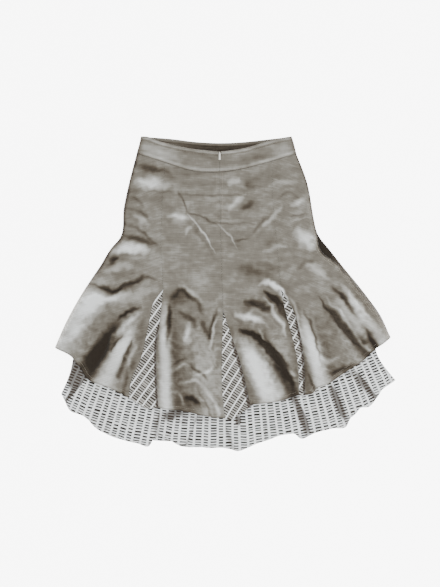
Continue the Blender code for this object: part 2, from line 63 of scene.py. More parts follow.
yokeSeam = [
    (-220, 349), (-182, 337), (-134, 321), (-83, 306), (-12, 302), (58, 313), (105, 326),
    (147, 338), (180, 349),
]
nearWaistLeft = [(-209, 392), (-194, 391), (-165, 380), (-127, 370), (-83, 361), (-38, 356), (-16, 354)]
nearWaistRight = [(-8, 354), (26, 358), (58, 364), (90, 374), (134, 386), (168, 392)]
bandSideLeft = [(-209, 392), (-212, 378), (-220, 349)]
bandSideRight = [(168, 392), (173, 376), (180, 349)]
farWaist = [(-209, 394), (-134, 388), (-70, 380), (-12, 377), (58, 380), (105, 385), (168, 392)]
hemOuterLeft = [(-424, -135), (-382, -158), (-359, -190), (-346, -212), (-292, -232), (-240, -261)]
hemGodetLeft = [(-240, -261), (-219, -273), (-196, -282), (-160, -275)]
hemInnerLeft = [(-165, -285), (-101, -295), (-30, -308), (1, -311)]
hemGodetCentre = [(1, -312), (11, -316), (39, -298), (70, -272)]
hemInnerRight = [(64, -279), (106, -272), (161, -263), (186, -255)]
hemGodetRight = [(186, -255), (196, -252), (207, -248)]
hemOuterRight = [
    (201, -254), (219, -250), (228, -238), (264, -222), (301, -198), (351, -165), (379, -138),
    (416, -110),
]
plainHem = [
    (-424, -135), (-350, -180), (-240, -248), (-120, -282), (-10, -290), (110, -272), (220, -232),
    (330, -172), (416, -110),
]
underskirtLeft = [
    (-209, 335), (-229, 275), (-243, 210), (-250, 132), (-293, 72), (-337, 0), (-371, -80),
    (-376, -142), (-389, -208), (-408, -252),
]
underskirtRight = [
    (168, 335), (194, 272), (212, 180), (222, 108), (270, 66), (337, -18), (371, -98), (384, -158),
    (410, -197), (428, -218),
]
upperHem = [
    (-408, -252), (-399, -272), (-386, -295), (-352, -306), (-322, -338), (-285, -358), (-222, -374),
    (-190, -384), (-174, -362), (-158, -358), (-106, -384), (-51, -386), (10, -390), (32, -396),
    (65, -382), (104, -370), (157, -352), (174, -352), (190, -364), (228, -350), (266, -338),
    (305, -335), (315, -315), (341, -286), (361, -284), (380, -265), (396, -240), (428, -218),
]
lowerHem = [
    (-398, -250), (-372, -282), (-330, -318), (-285, -345), (-222, -362), (-165, -371), (-106, -372),
    (10, -378), (104, -360), (185, -341), (265, -328), (324, -308), (350, -276), (386, -245),
    (416, -218),
]
linenHem = (
    hemOuterLeft + hemGodetLeft[1:-1] + hemInnerLeft + hemGodetCentre[1:-1]
    + hemInnerRight + hemOuterRight
)

# Folds that the solids have too: start, end, half width at each, and height
foldColumns = ("start", "end", "widthStart", "widthEnd", "height")
linenFolds = [
    ((-256, -60), (-356, -212), 12, 24, -12),
    ((-270, 90), (-396, -112), 24, 46, 14),
    ((-205, -20), (-296, -228), 18, 34, 19),
    ((-226, -115), (-251, -172), 8, 8, -5),
    ((-164, -30), (-210, -275), 9, 18, -7),
    ((-148, 10), (-146, -282), 12, 20, 16),
    ((-60, -20), (-41, -298), 30, 40, 7),
    ((-2, -62), (22, -288), 8, 15, -7),
    ((30, -80), (109, -262), 18, 30, 20),
    ((76, -66), (170, -250), 9, 13, -7),
    ((184, -30), (244, -232), 14, 28, 18),
    ((236, -8), (345, -136), 9, 16, -8),
    ((262, 20), (384, -120), 18, 30, 13),
]
underskirtFolds = [
    ((-311, -232), (-351, -302), 14, 18, 12),
    ((-219, -278), (-236, -368), 16, 20, 12),
    ((-119, -292), (-131, -368), 14, 17, 10),
    ((-36, -305), (-36, -385), 12, 16, 9),
    ((46, -292), (61, -382), 12, 17, 12),
    ((139, -270), (154, -352), 14, 17, 10),
    ((234, -238), (259, -338), 14, 18, 12),
    ((294, -205), (344, -282), 12, 15, 10),
    ((354, -162), (409, -232), 10, 13, 9),
    ((-174, -300), (-170, -362), 7, 8, -5),
    ((-4, -318), (21, -392), 7, 9, -5),
    ((182, -262), (208, -358), 7, 9, -5),
    ((268, -230), (304, -318), 7, 9, -5),
]
layers = {
    "linen": 0.7, "check": 0.55, "band": 1.3,
    "plain": 0.6, "plainBand": 0.8, "lowerUnderskirt": 2.0, "floorUnderskirt": 0.5,
    "upperUnderskirt": 3.3, "tape": 4.8, "zipside": 6.0, "zipsideBand": 6.2,
    "goreEdge": 2.1, "bandEdge": 2.7, "edgeRound": 14.0, "underRelief": 0.3, "godetTuck": 2.2,
    "seamGap": 0.12, "hemLift": 6.0, "liftTop": 160.0, "liftBottom": -120.0, "drapeReach": 26.0,
    "dropStart": 22.0, "dropEnd": 44.0, "ruffleLift": 4.5, "underskirtTopGap": 3.0,
    "plainCloth": 1.1, "plainBandCloth": 1.5,
}

# Creases, listed one by one. A path is in the photo's pixels, half width and height in mm.
# A crease fades at both ends, or only at its start where it runs out over the hem ("hem").
# A pair of half widths is for the left and right of the path, as one goes along it.
creaseColumns = ("path", "width", "height", "ends")
linenCreases = [
    # left hip
    ([(134, 166), (150, 169), (174, 173)], 9, -1.8),
    ([(133, 182), (150, 183), (172, 187)], 14, 4.0),
    ([(129, 197), (146, 206)], 6, -1.5),
    ([(126, 207), (137, 210), (150, 219)], 6, -1.6),
    ([(131, 214), (152, 226)], 8, 2.2),
    ([(122, 222), (140, 231), (158, 245)], 5, -2.0),
    ([(124, 235), (141, 240), (158, 244)], 7, -2.6),
    ([(112, 250), (130, 248), (150, 250)], 15, 5.5),
    ([(108, 262), (120, 258)], 6, -2.4),
    ([(117, 256), (143, 254)], 4, -1.2),
    ([(102, 272), (116, 268), (135, 266)], 12, 3.5),
    # arc over the left wing, and the folds of the second lobe
    ([(88, 284), (104, 287), (116, 292), (127, 285), (142, 278), (158, 279)], 7, -5.0),
    ([(82, 300), (104, 300), (132, 292)], 14, 5.0),
    ([(117, 321), (127, 312), (143, 307)], 5, -4.0),
    ([(106, 347), (122, 327), (139, 314)], 7, 5.0),
    ([(109, 352), (125, 333)], 5, -4.0),
    ([(134, 338), (128, 351), (122, 365)], 3.2, -3.6),
    ([(138, 341), (132, 355), (127, 368)], 6, 2.2),
    ([(128, 367), (125, 392)], 5, -1.8, "hem"),
    ([(68, 342), (82, 330), (96, 318)], 10, 2.0),
    # centre of the hip: storage creases and the two sharp ones
    ([(178, 191), (182, 198), (187.5, 214)], 3.4, -2.0),
    ([(187, 213), (198, 226), (217, 254)], 2.2, 3.0),
    ([(184, 216), (195, 229), (212, 254)], 6, -1.0),
    ([(187, 212), (204, 219), (219, 226)], 2.8, -2.0),
    ([(218, 225), (229, 235), (239, 250)], 2.2, 2.0),
    ([(161, 195), (200, 195), (256, 195.5)], 3, -1.1),
    ([(140, 190), (160, 192), (178, 194)], 3, -1.0),
    ([(198, 224), (230, 223.5), (264, 223)], 3, -1.1),
    ([(166, 219), (178, 216), (190, 221)], 9, 2.6),
    ([(184, 237), (188, 229), (195, 223)], 4, 1.8),
    ([(214, 212), (222, 221)], 8, -1.2),
    # right hip
    ([(240, 176), (250, 186), (256, 192)], 9, -1.6),
    ([(238, 211), (247, 206), (254, 200)], 7, -1.6),
    ([(228, 211), (237, 201), (248, 193)], 7, 2.4),
    ([(226, 186), (240, 179)], 7, 2.0),
    ([(250, 236), (260, 223), (275, 210)], 5, -1.8),
    ([(262, 228), (272, 216), (284, 206)], 8, 2.2),
    ([(234, 241), (248, 239)], 3, -1.8),
    ([(266, 190), (282, 182), (294, 184)], 10, 2.2),
    ([(276, 200), (288, 193), (300, 196)], 6, -1.2),
    ([(289, 207), (298, 201), (308, 198)], 7, 3.0),
    ([(288, 217), (300, 215), (313, 214)], 2.6, -1.1),
    ([(290, 222), (303, 219), (314, 219)], 2.6, 1.2),
    ([(292, 230), (302, 236), (316, 250)], 17, 5.5),
    ([(262, 252), (278, 246), (290, 250)], 9, 2.2),
    ([(256, 262), (274, 268), (292, 266)], 8, -1.8),
    ([(296, 270), (306, 262), (316, 262)], 6, -1.6),
    ([(302, 262), (318, 270), (330, 280)], 10, 3.0),
    # inner left gore
    ([(169, 303), (180, 289), (194, 298), (204, 316)], 8, -3.4),
    ([(176, 285), (190, 290), (202, 304)], 7, 3.4),
    ([(170, 302), (168, 322), (167, 348)], 8, -6.5),
    ([(178, 312), (190, 318), (199, 328)], 9, -2.8),
    ([(200, 318), (206, 330), (210, 340)], 8, -3.0),
    ([(184, 346), (188, 334), (190, 322)], 9, 4.0),
    ([(217, 306), (213, 322), (208, 342)], 5, -3.0),
    ([(219, 314), (214, 332), (210, 350)], 4, 2.6),
    ([(169, 368), (177, 361), (190, 358)], 3.2, -2.2),
    ([(171, 373), (180, 366), (192, 364)], 5, 2.4),
    ([(188, 362), (199, 371), (210, 381)], 5, -3.0),
    ([(192, 376), (204, 372), (214, 364)], 5, 2.4),
    ([(178, 384), (192, 380), (204, 386)], 6, 2.6),
    ([(182, 399), (192, 397), (201, 405)], 8, -4.6),
    ([(170, 390), (178, 393), (184, 406)], 6, 2.4),
    ([(204, 384), (212, 398), (219, 414)], 4, 2.4, "hem"),
    ([(198, 388), (206, 400), (210, 414)], 4, -1.8, "hem"),
    # inner right gore: the bright arch, its hollow, and the long diagonal fold
    ([(256, 284), (268, 281), (278, 287), (285, 300), (291, 322), (297, 342)], 7, 8.0),
    ([(262, 290), (274, 297), (282, 309), (290, 325)], 8, -8.0),
    ([(242, 301), (258, 304), (272, 312)], 8, -6.0),
    ([(262, 297), (272, 308), (282, 326), (287, 338)], 5, 4.0),
    ([(234, 316), (248, 316), (264, 324)], 9, 5.0),
    ([(238, 330), (255, 335), (269, 349), (284, 365), (294, 390)], 9, -11.0),
    ([(256, 326), (270, 345)], 4, 3.0),
    ([(272, 362), (284, 368), (297, 377)], 5, 3.4),
    ([(250, 346), (262, 362), (280, 392)], 14, 4.0, "hem"),
    ([(246, 356), (254, 372), (262, 380)], 4, -1.2),
    ([(296, 352), (299, 372), (303, 390)], 5, 4.0, "hem"),
    # outer right gore: flutes
    ([(287, 294), (296, 308), (300, 330), (304, 346)], 5, 3.0),
    ([(303, 308), (313, 332), (320, 366)], 4, -3.4),
    ([(318, 296), (332, 314), (346, 331), (362, 349)], 5, -4.6),
    ([(324, 294), (338, 312), (352, 330), (368, 350)], 6, 4.4, "hem"),
    ([(331, 285), (346, 302), (360, 320)], 8, -5.0),
    ([(340, 282), (356, 302), (371, 322)], 7, 3.4),
    ([(357, 322), (368, 335), (378, 349)], 10, -9.0, "hem"),
    ([(326, 373), (340, 370), (354, 362)], 6, -2.8),
    ([(307, 372), (314, 389)], 4, -3.0, "hem"),
    ([(312, 352), (326, 360), (340, 358)], 7, 2.4),
]
underskirtCreases = [
    ([(86, 376), (76, 388), (66, 400)], 3.4, -6.0, "hem"),
    ([(78, 364), (70, 378), (63, 392)], 8, 5.0, "hem"),
    ([(118, 396), (110, 416), (104, 434)], 4, -3.5, "hem"),
    ([(160, 408), (158, 422), (156, 438)], 4, -5.0, "hem"),
    ([(166, 408), (174, 420), (186, 424)], 9, -4.0),
    ([(198, 413), (193, 428), (186, 445)], 3.4, -5.0, "hem"),
    ([(223, 417), (228, 434), (233, 450)], 3.4, -5.0, "hem"),
    ([(237, 417), (239, 424)], 5, -6.0),
    ([(262, 403), (265, 422), (266, 441)], 4, -3.0, "hem"),
    ([(295, 397), (303, 414), (309, 432)], 4, -7.0, "hem"),
    ([(330, 383), (337, 400), (344, 416)], 4, -7.0, "hem"),
    ([(345, 380), (354, 396), (360, 406)], 4, -4.0, "hem"),
    ([(354, 368), (364, 382), (377, 399)], 5, -6.0, "hem"),
    ([(376, 358), (384, 368), (394, 382)], 4, 3.0, "hem"),
]
print("tables read")


def smoothLine(points, fractions):
    # points at these fractions along a smooth curve through a table
    table = np.array(points, float)
    steps = np.hypot(*np.diff(table, axis=0).T)
    knots = np.concatenate([[0.0], np.cumsum(steps)]) / steps.sum()
    slopes = np.gradient(table, knots, axis=0)
    where = np.clip(np.asarray(fractions, float), 0.0, 1.0)
    span = np.clip(np.searchsorted(knots, where, side="right") - 1, 0, len(knots) - 2)
    width = (knots[span + 1] - knots[span])[:, None]
    t = (where - knots[span])[:, None] / width
    start = (2 * t ** 3 - 3 * t ** 2 + 1) * table[span] + (t ** 3 - 2 * t ** 2 + t) * width * slopes[span]
    end = (3 * t ** 2 - 2 * t ** 3) * table[span + 1] + (t ** 3 - t ** 2) * width * slopes[span + 1]
    return start + end


def rise(value, low, high):
    t = np.clip((value - low) / (high - low), 0.0, 1.0)
    return t * t * (3 - 2 * t)


def lineAt(points, x):
    table = np.array(points, float)
    return np.interp(x, table[:, 0], table[:, 1])


def patch(top, bottom, left, right, across, down):
    # cloth filled in between four edge curves
    u = across[None, :, None]
    v = down[:, None, None]
    betweenEnds = (1 - v) * top[None] + v * bottom[None]
    betweenSides = (1 - u) * left[:, None] + u * right[:, None]
    corners = (1 - v) * ((1 - u) * left[0] + u * right[0]) + v * ((1 - u) * left[-1] + u * right[-1])
    return betweenEnds + betweenSides - corners


def foldHeights(x, y, folds):
    total = np.zeros_like(x)
    for row in folds:
        fold = dict(zip(foldColumns, row))
        start = np.array(fold["start"], float)
        run = np.array(fold["end"], float) - start
        along = np.clip(((x - start[0]) * run[0] + (y - start[1]) * run[1]) / (run @ run), 0.0, 1.6)
        aside = np.hypot(x - start[0] - along * run[0], y - start[1] - along * run[1])
        width = fold["widthStart"] + (fold["widthEnd"] - fold["widthStart"]) * np.clip(along, 0, 1)
        total += fold["height"] * rise(along, 0.0, 0.6) * np.exp(-(aside / width) ** 2)
    return total


def fromPhoto(pixels):
    table = np.array(pixels, float)
    across = (table[:, 0] - photo["middle"][0]) * photo["mmPerPixel"]
    up = (photo["middle"][1] - table[:, 1]) * photo["mmPerPixel"]
    return np.stack([across, up], axis=1)


def creaseHeights(x, y, creases):
    total = np.zeros_like(x)
    for row in creases:
        crease = dict(zip(creaseColumns, row))
        path = smoothLine(fromPhoto(crease["path"]), np.linspace(0, 1, 13))
        width = crease["width"]
        leftWidth, rightWidth = width if isinstance(width, tuple) else (width, width)
        reach = 3.0 * max(leftWidth, rightWidth)
        low, high = path.min(axis=0) - reach, path.max(axis=0) + reach
        near = (x > low[0]) & (x < high[0]) & (y > low[1]) & (y < high[1])
        if not near.any():
            continue
        px, py = x[near], y[near]
        best = np.full(px.shape, 1e9)
        place = np.zeros(px.shape)
        side = np.zeros(px.shape)
        for k in range(len(path) - 1):
            run = path[k + 1] - path[k]
            t = np.clip(((px - path[k, 0]) * run[0] + (py - path[k, 1]) * run[1]) / (run @ run), 0, 1)
            dx, dy = px - path[k, 0] - t * run[0], py - path[k, 1] - t * run[1]
            away = np.hypot(dx, dy)
            closer = away < best
            best = np.where(closer, away, best)
            place = np.where(closer, (k + t) / (len(path) - 1), place)
            side = np.where(closer, run[0] * dy - run[1] * dx, side)
        turn = math.pi / 2 if crease.get("ends") == "hem" else math.pi
        strength = np.sin(turn * np.clip(place, 0, 1)) ** 0.7
        half = np.where(side > 0, leftWidth, rightWidth) * (0.5 + 0.5 * strength)
        total[near] += crease["height"] * strength * np.exp(-(best / half) ** 2)
    return total


def crumple(x, y, size, seed):
    # smooth seeded unevenness of the cloth, between about -1 and 1
    turns = np.random.default_rng(seed).uniform(0, 2 * math.pi, (61, 61))
    gridX, gridY = x / size + 20, y / size + 20
    ix, iy = np.floor(gridX).astype(int), np.floor(gridY).astype(int)
    fx, fy = gridX - ix, gridY - iy
    easeX, easeY = fx * fx * (3 - 2 * fx), fy * fy * (3 - 2 * fy)

    def corner(dx, dy):
        turn = turns[(iy + dy) % 61, (ix + dx) % 61]
        return np.cos(turn) * (fx - dx) + np.sin(turn) * (fy - dy)

    low = corner(0, 0) * (1 - easeX) + corner(1, 0) * easeX
    high = corner(0, 1) * (1 - easeX) + corner(1, 1) * easeX
    return 1.6 * (low * (1 - easeY) + high * easeY)


def wandered(x, y):
    # places moved a little, so that no crease is even
    return (x + 5.0 * crumple(x, y, 34, 51) + 2.4 * crumple(x, y, 13, 52),
            y + 5.0 * crumple(x, y, 34, 53) + 2.4 * crumple(x, y, 13, 54))


def aboveNothing(height):
    return (height + np.sqrt(height ** 2 + 4.0)) / 2


def linenRelief(x, y):
    lift = layers["hemLift"] * (1 - rise(y, layers["liftBottom"], layers["liftTop"]))
    return aboveNothing(lift + foldHeights(x, y, linenFolds))


def linenDetail(x, y):
    # creases and crumples that only the dressed cloth has
    wanderedX, wanderedY = wandered(x, y)
    low = 1 - rise(y, -140, 40)
    across = 0.55 * crumple(x, 2.6 * y, 46, 61) + 0.30 * crumple(x, 3.2 * y, 21, 62)
    soft = 0.6 * crumple(x, y, 40, 3) + 0.35 * crumple(wanderedX, wanderedY, 17, 4)
    ridges = 0.5 - np.abs(crumple(wanderedX, wanderedY, 24, 63))
    sharp = ridges - 0.5 * np.abs(crumple(wanderedX, wanderedY, 11, 64))
    slack = creaseHeights(wanderedX, wanderedY, linenCreases) + soft + across * (1 - 0.6 * low)
    return np.maximum(slack + sharp * (0.25 + 1.1 * low), -1.6 - 0.62 * linenRelief(x, y))


def upperUnderskirtHeight(x, y):
    shown = rise(lineAt(linenHem, x) - y, 0.0, layers["drapeReach"])
    hidden = layers["underRelief"] * linenRelief(x, y)
    ruffles = layers["ruffleLift"] + foldHeights(x, y, underskirtFolds)
    own = aboveNothing(ruffles + creaseHeights(x, y, underskirtCreases) + 0.7 * crumple(x, y, 17, 11))
    drop = (layers["upperUnderskirt"] - layers["lowerUnderskirt"]) * shown
    return layers["upperUnderskirt"] - drop + (1 - shown) * hidden + shown * own


def lowerUnderskirtHeight(x, y):
    pastHem = rise(lineAt(plainHem, x) - y, layers["dropStart"], layers["dropEnd"])
    return layers["lowerUnderskirt"] + (layers["floorUnderskirt"] - layers["lowerUnderskirt"]) * pastHem


def roundedToEdge(height, edgeHeight, distance):
    t = np.clip(distance / layers["edgeRound"], 0.0, 1.0)
    return edgeHeight + (height - edgeHeight) * np.sqrt(1 - (1 - t) ** 2)


def distanceTo(points, edge):
    # distance from each point of the sheet to its edge's own nearest rows
    rows = points.shape[0]
    nearest = np.full(points.shape[:2], 1e9)
    for step in range(-12, 13, 3):
        row = np.clip(np.arange(rows) + step, 0, rows - 1)
        gap = points - edge[row][:, None, :]
        nearest = np.minimum(nearest, np.hypot(gap[..., 0], gap[..., 1]))
    return nearest


def blurred(field, cells):
    # two passes of a running mean each way
    for axis in (0, 1, 0, 1):
        pad = [(cells + 1, cells), (0, 0)] if axis == 0 else [(0, 0), (cells + 1, cells)]
        sums = np.cumsum(np.pad(field, pad, mode="edge"), axis=axis)
        width = 2 * cells + 1
        if axis == 0:
            field = (sums[width:] - sums[:-width]) / width
        else:
            field = (sums[:, width:] - sums[:, :-width]) / width
    return field


# Painted shade and painted highlights: middle and half sizes (across, along) in the photo's pixels,
# lean of the long axis to the right in degrees, and depth, below 0 for a painted highlight
shadeColumns = ("middle", "halfSize", "lean", "depth")
linenShades = [
    # left hip
    ((150, 168), (20, 5), 20, 0.42),
    ((147, 184), (16, 7), 15, -0.42),
    ((127, 200), (7, 14), 5, 0.28),
    ((156, 200), (16, 5), 15, 0.12),
    ((180, 218), (10, 5), 0, -0.34),
    ((140, 240), (20, 4), 17, 0.35),
    ((130, 251), (22, 8), -5, -0.50),
    ((165, 262), (18, 12), 0, -0.10),
    # left wing
    ((114, 260), (8, 4), -12, 0.55),
    ((106, 270), (12, 5), -25, 0.20),
    ((104, 289), (15, 5), 12, 0.50),
    ((134, 284), (15, 4), -35, 0.42),
    ((94, 306), (19, 11), -22, -0.62),
    ((130, 298), (20, 6), -22, -0.42),
    ((72, 332), (9, 18), 32, -0.30),
    ((106, 345), (8, 24), 42, 0.62),
    ((95, 362), (8, 14), 42, 0.40),
    ((124, 313), (13, 4), -30, 0.38),
    ((118, 372), (14, 16), 20, 0.12),
    ((139, 330), (6, 16), 15, 0.12),
    # inner left gore
    ((166, 365), (5, 34), 0, 0.20),
    ((180, 296), (12, 10), 20, 0.55),
    ((172, 325), (6, 28), 4, 0.42),
    ((194, 318), (12, 9), 30, 0.25),
    ((187, 336), (8, 12), 0, -0.22),
    ((206, 330), (7, 12), 0, 0.30),
    ((192, 402), (10, 7), 10, 0.60),
    ((184, 372), (12, 12), 0, -0.10),
    ((212, 352), (5, 22), 8, -0.10),
    ((198, 282), (14, 8), 0, -0.16),
    # centre and right hip
    ((200, 172), (26, 5), 0, 0.20),
    ((253, 184), (8, 6), 30, 0.26),
    ((246, 206), (9, 5), -30, 0.30),
    ((236, 182), (9, 6), -20, -0.20),
    ((232, 204), (9, 8), -35, -0.20),
    ((272, 176), (20, 7), 0, 0.12),
    ((300, 205), (9, 8), 0, -0.18),
    ((305, 238), (11, 13), -10, -0.44),
    ((268, 242), (10, 8), 0, 0.16),
    ((240, 240), (12, 6), 0, 0.14),
    # inner right gore
    ((254, 271), (17, 6), 10, 0.48),
    ((274, 285), (13, 4), 25, -0.32),
    ((270, 299), (10, 7), 38, 0.72),
    ((252, 305), (12, 5), 18, 0.55),
    ((253, 320), (13, 5), 15, -0.30),
    ((252, 334), (16, 8), 22, 0.62),
    ((282, 366), (5, 26), -30, 0.50),
    ((264, 376), (11, 24), -28, -0.34),
    ((283, 340), (7, 20), -20, -0.14),
    # outer right gore
    ((322, 278), (12, 12), -20, -0.20),
    ((350, 308), (5, 26), -38, 0.46),
    ((331, 322), (4, 26), -28, 0.34),
    ((371, 338), (8, 10), -45, 0.70),
    ((358, 310), (6, 30), -36, -0.16),
    ((322, 350), (12, 14), -20, -0.16),
    ((306, 368), (5, 18), -12, 0.30),
    ((335, 372), (16, 5), -25, 0.28),
]
# painted shadows under the linen's hem and painted shade in the ruffle's pleats, in the same columns as
# linenShades
underskirtShades = [
    ((73, 373), (9, 14), 25, 2.2),
    ((172, 414), (15, 9), -8, 1.1),
    ((200, 418), (12, 5), 0, 0.6),
    ((239, 421), (3.5, 4.5), 0, 1.6),
    ((296, 404), (4, 14), -22, 1.0),
    ((303, 420), (4, 12), -22, 0.9),
    ((333, 392), (5, 13), -22, 0.9),
    ((340, 409), (4, 10), -22, 0.8),
    ((363, 384), (4, 18), -38, 1.0),
    ((350, 376), (8, 5), 35, 0.5),
    ((386, 370), (4, 10), -38, 0.7),
    ((76, 388), (2.2, 15), 38, 1.5),
]


def shadePatches(x, y, patches):
    total = np.zeros_like(x)
    for row in patches:
        spot = dict(zip(shadeColumns, row))
        (cx, cy), = fromPhoto([spot["middle"]])
        half = np.array(spot["halfSize"]) * photo["mmPerPixel"]
        lean = math.radians(spot["lean"])
        side = (x - cx) * math.cos(lean) - (y - cy) * math.sin(lean)
        length = (y - cy) * math.cos(lean) + (x - cx) * math.sin(lean)
        total += spot["depth"] * np.exp(-(side / half[0]) ** 2 - (length / half[1]) ** 2)
    return total


class HollowMap:
    # how far cloth stands over or under its surroundings, which sets painted shade in hollows and painted
    # highlights on crests
    step = 3.0
    low = (-450.0, -420.0)
    size = (301, 281)
    scales = {2: 0.15, 6: 0.10, 16: 0.045}  # blur in steps: share of the tone for each mm

    def __init__(self, heightOf):
        x = self.low[0] + self.step * np.arange(self.size[0])
        y = self.low[1] + self.step * np.arange(self.size[1])
        gridX, gridY = np.meshgrid(x, y)
        field = heightOf(gridX, gridY)
        self.smooth = {cells: blurred(field, cells) for cells in self.scales}

    def tone(self, x, y, height):
        fx = np.clip((x - self.low[0]) / self.step, 0, self.size[0] - 1.001)
        fy = np.clip((y - self.low[1]) / self.step, 0, self.size[1] - 1.001)
        ix, iy = fx.astype(int), fy.astype(int)
        tx, ty = fx - ix, fy - iy
        total = np.zeros_like(x)
        for cells, share in self.scales.items():
            grid = self.smooth[cells]
            low = grid[iy, ix] * (1 - tx) + grid[iy, ix + 1] * tx
            high = grid[iy + 1, ix] * (1 - tx) + grid[iy + 1, ix + 1] * tx
            total += share * (height - (low * (1 - ty) + high * ty))
        return np.tanh(total)


linenHollows = HollowMap(lambda x, y: linenRelief(x, y) + linenDetail(x, y))
underskirtHollows = HollowMap(upperUnderskirtHeight)
print("folds worked out")


class Wire:
    # a shader socket that takes part in sums
    def __init__(self, shade, socket):
        self.shade, self.socket = shade, socket

    def calc(self, operation, *others):
        values = {0: self}
        values.update({place + 1: other for place, other in enumerate(others)})
        return self.shade.add("ShaderNodeMath", {"operation": operation}, values)

    def flipped(self, operation, other):
        return self.shade.add("ShaderNodeMath", {"operation": operation}, {0: other, 1: self})

    def __add__(self, other): return self.calc("ADD", other)
    def __radd__(self, other): return self.calc("ADD", other)
    def __sub__(self, other): return self.calc("SUBTRACT", other)
    def __rsub__(self, other): return self.flipped("SUBTRACT", other)
    def __mul__(self, other): return self.calc("MULTIPLY", other)
    def __rmul__(self, other): return self.calc("MULTIPLY", other)
    def __truediv__(self, other): return self.calc("DIVIDE", other)
    def __gt__(self, other): return self.calc("GREATER_THAN", other)


class Shade:
    # a material's node tree
    def __init__(self, name, roughness, constants):
        self.material = bpy.data.materials.new(name)
        self.material.use_nodes = True
        self.tree = self.material.node_tree
        self.surface = self.tree.nodes["Principled BSDF"]
        self.surface.inputs["Roughness"].default_value = roughness
        for socket, value in constants.items():
            self.surface.inputs[socket].default_value = value

    def add(self, kind, settings=None, values=None, output=0):
        node = self.tree.nodes.new(kind)
        for name, value in (settings or {}).items():
            if name == "stops":
                ramp = node.color_ramp.elements
                while len(ramp) < len(value):
                    ramp.new(0.5)
                for stop, (place, colour) in zip(ramp, value):
                    stop.position = place
                    stop.color = (*colour, 1.0)
            else:
                setattr(node, name, value)
        for name, value in (values or {}).items():
            self.join(value, node.inputs[name])
        return Wire(self, node.outputs[output])

    def join(self, value, socket):
        if isinstance(value, Wire):
            self.tree.links.new(value.socket, socket)
        elif isinstance(value, tuple) and len(value) == 3 and socket.type == "RGBA":
            socket.default_value = (*value, 1.0)
        else:
            socket.default_value = value

    def attribute(self, name, output="Vector"):
        return self.add("ShaderNodeAttribute", {"attribute_name": name}, {}, output)

    def stretched(self, vector, scale):
        return self.add("ShaderNodeVectorMath", {"operation": "MULTIPLY"}, {0: vector, 1: scale})

    def noise(self, vector, scale, detail=2.0, roughness=0.5):
        return self.add("ShaderNodeTexNoise", {}, {
            "Vector": vector, "Scale": scale, "Detail": detail, "Roughness": roughness})

    def whiteNoise(self, dimensions, values):
        return self.add("ShaderNodeTexWhiteNoise", {"noise_dimensions": dimensions}, values, "Value")

    def ramp(self, value, stops):
        return self.add("ShaderNodeValToRGB", {"stops": stops}, {"Fac": value})

    def mix(self, factor, first, second, blend="MIX"):
        return self.add(
            "ShaderNodeMix", {"data_type": "RGBA", "blend_type": blend},
            {"Factor": factor, "A": first, "B": second}, "Result")

    def split(self, vector):
        return [self.add("ShaderNodeSeparateXYZ", {}, {"Vector": vector}, axis) for axis in "XY"]

    def joined(self, x, y, z=0.0):
        return self.add("ShaderNodeCombineXYZ", {}, {"X": x, "Y": y, "Z": z})

    def smooth(self, value, low, high):
        return self.add("ShaderNodeMapRange", {"interpolation_type": "SMOOTHSTEP"}, {
            "Value": value, "From Min": low, "From Max": high, "To Min": 0.0, "To Max": 1.0})

    def finish(self, colour, height, strength, distance, roughness=None):
        self.join(colour, self.surface.inputs["Base Color"])
        if roughness is not None:
            self.join(roughness, self.surface.inputs["Roughness"])
        relief = {"Height": height, "Strength": strength, "Distance": distance}
        self.join(self.add("ShaderNodeBump", {}, relief, "Normal"), self.surface.inputs["Normal"])
        return self.material


# the linen's colours run from painted shade (hollow, shade) through the cloth's own colour to painted
# highlights (pale, highlight)
linenLook = {
    "hollow": (0.014, 0.009, 0.004), "shade": (0.062, 0.049, 0.033), "cloth": (0.158, 0.146, 0.120),
    "pale": (0.35, 0.345, 0.318), "highlight": (0.74, 0.765, 0.76),
    "slubShare": 0.34, "threadPitch": 0.00075, "roughness": 0.66, "sheen": 0.35,
}


def linenMaterial(name):
    shade = Shade(name, linenLook["roughness"], {
        "Sheen Weight": linenLook["sheen"], "Sheen Roughness": 0.35, "Specular IOR Level": 0.35})
    cloth = shade.attribute("cloth")
    tone = shade.attribute("tone", "Fac")
    slub = shade.noise(shade.stretched(cloth, (26.0, 420.0, 1.0)), 1.0, 3.0, 0.6)
    fineSlub = shade.noise(shade.stretched(cloth, (70.0, 1300.0, 1.0)), 1.0, 2.0, 0.6)
    warp = shade.noise(shade.stretched(cloth, (900.0, 34.0, 1.0)), 1.0, 2.0, 0.5)
    cloud = shade.noise(cloth, 17.0, 4.0, 0.55)
    smallCloud = shade.noise(cloth, 85.0, 4.0, 0.6)
    streaks = (slub - 0.5) * 0.75 + (fineSlub - 0.5) * 0.45 + (warp - 0.5) * 0.22
    mottle = (cloud - 0.5) * 0.75 + (smallCloud - 0.5) * 0.35
    # the tone paints shade and highlights; the streaks and mottle are the linen's own unevenness
    place = tone * 0.5 + 0.5 + streaks * linenLook["slubShare"] + mottle * 0.32
    colour = shade.ramp(place, [
        (0.0, linenLook["hollow"]), (0.24, linenLook["shade"]), (0.5, linenLook["cloth"]),
        (0.74, linenLook["pale"]), (1.0, linenLook["highlight"]),
    ])
    x, y = shade.split(cloth)
    turn = 2 * math.pi / linenLook["threadPitch"]
    weave = (x * turn).calc("SINE") * (y * turn).calc("SINE")
    height = slub * 0.5 + fineSlub * 0.35 + warp * 0.3 + weave * 0.12 + smallCloud * 0.6
    rough = 0.86 - place * 0.24
    return shade.finish(colour, height, 0.55, 0.0009, rough)


checkLook = {
    "white": (0.90, 0.93, 0.93), "rungDark": (0.012, 0.008, 0.005), "rungPale": (0.20, 0.185, 0.16),
    "ground": (0.46, 0.45, 0.42), "shade": (0.030, 0.018, 0.009),
    "period": 0.037, "stripe": 0.0050, "wide": 0.0152, "narrow": 0.0113, "rungPitch": 0.0069,
}
godetLook = dict(
    checkLook, stripe=0.0036, wide=0.0165, narrow=0.0133, rungPitch=0.0062,
    rungDark=(0.025, 0.019, 0.013))


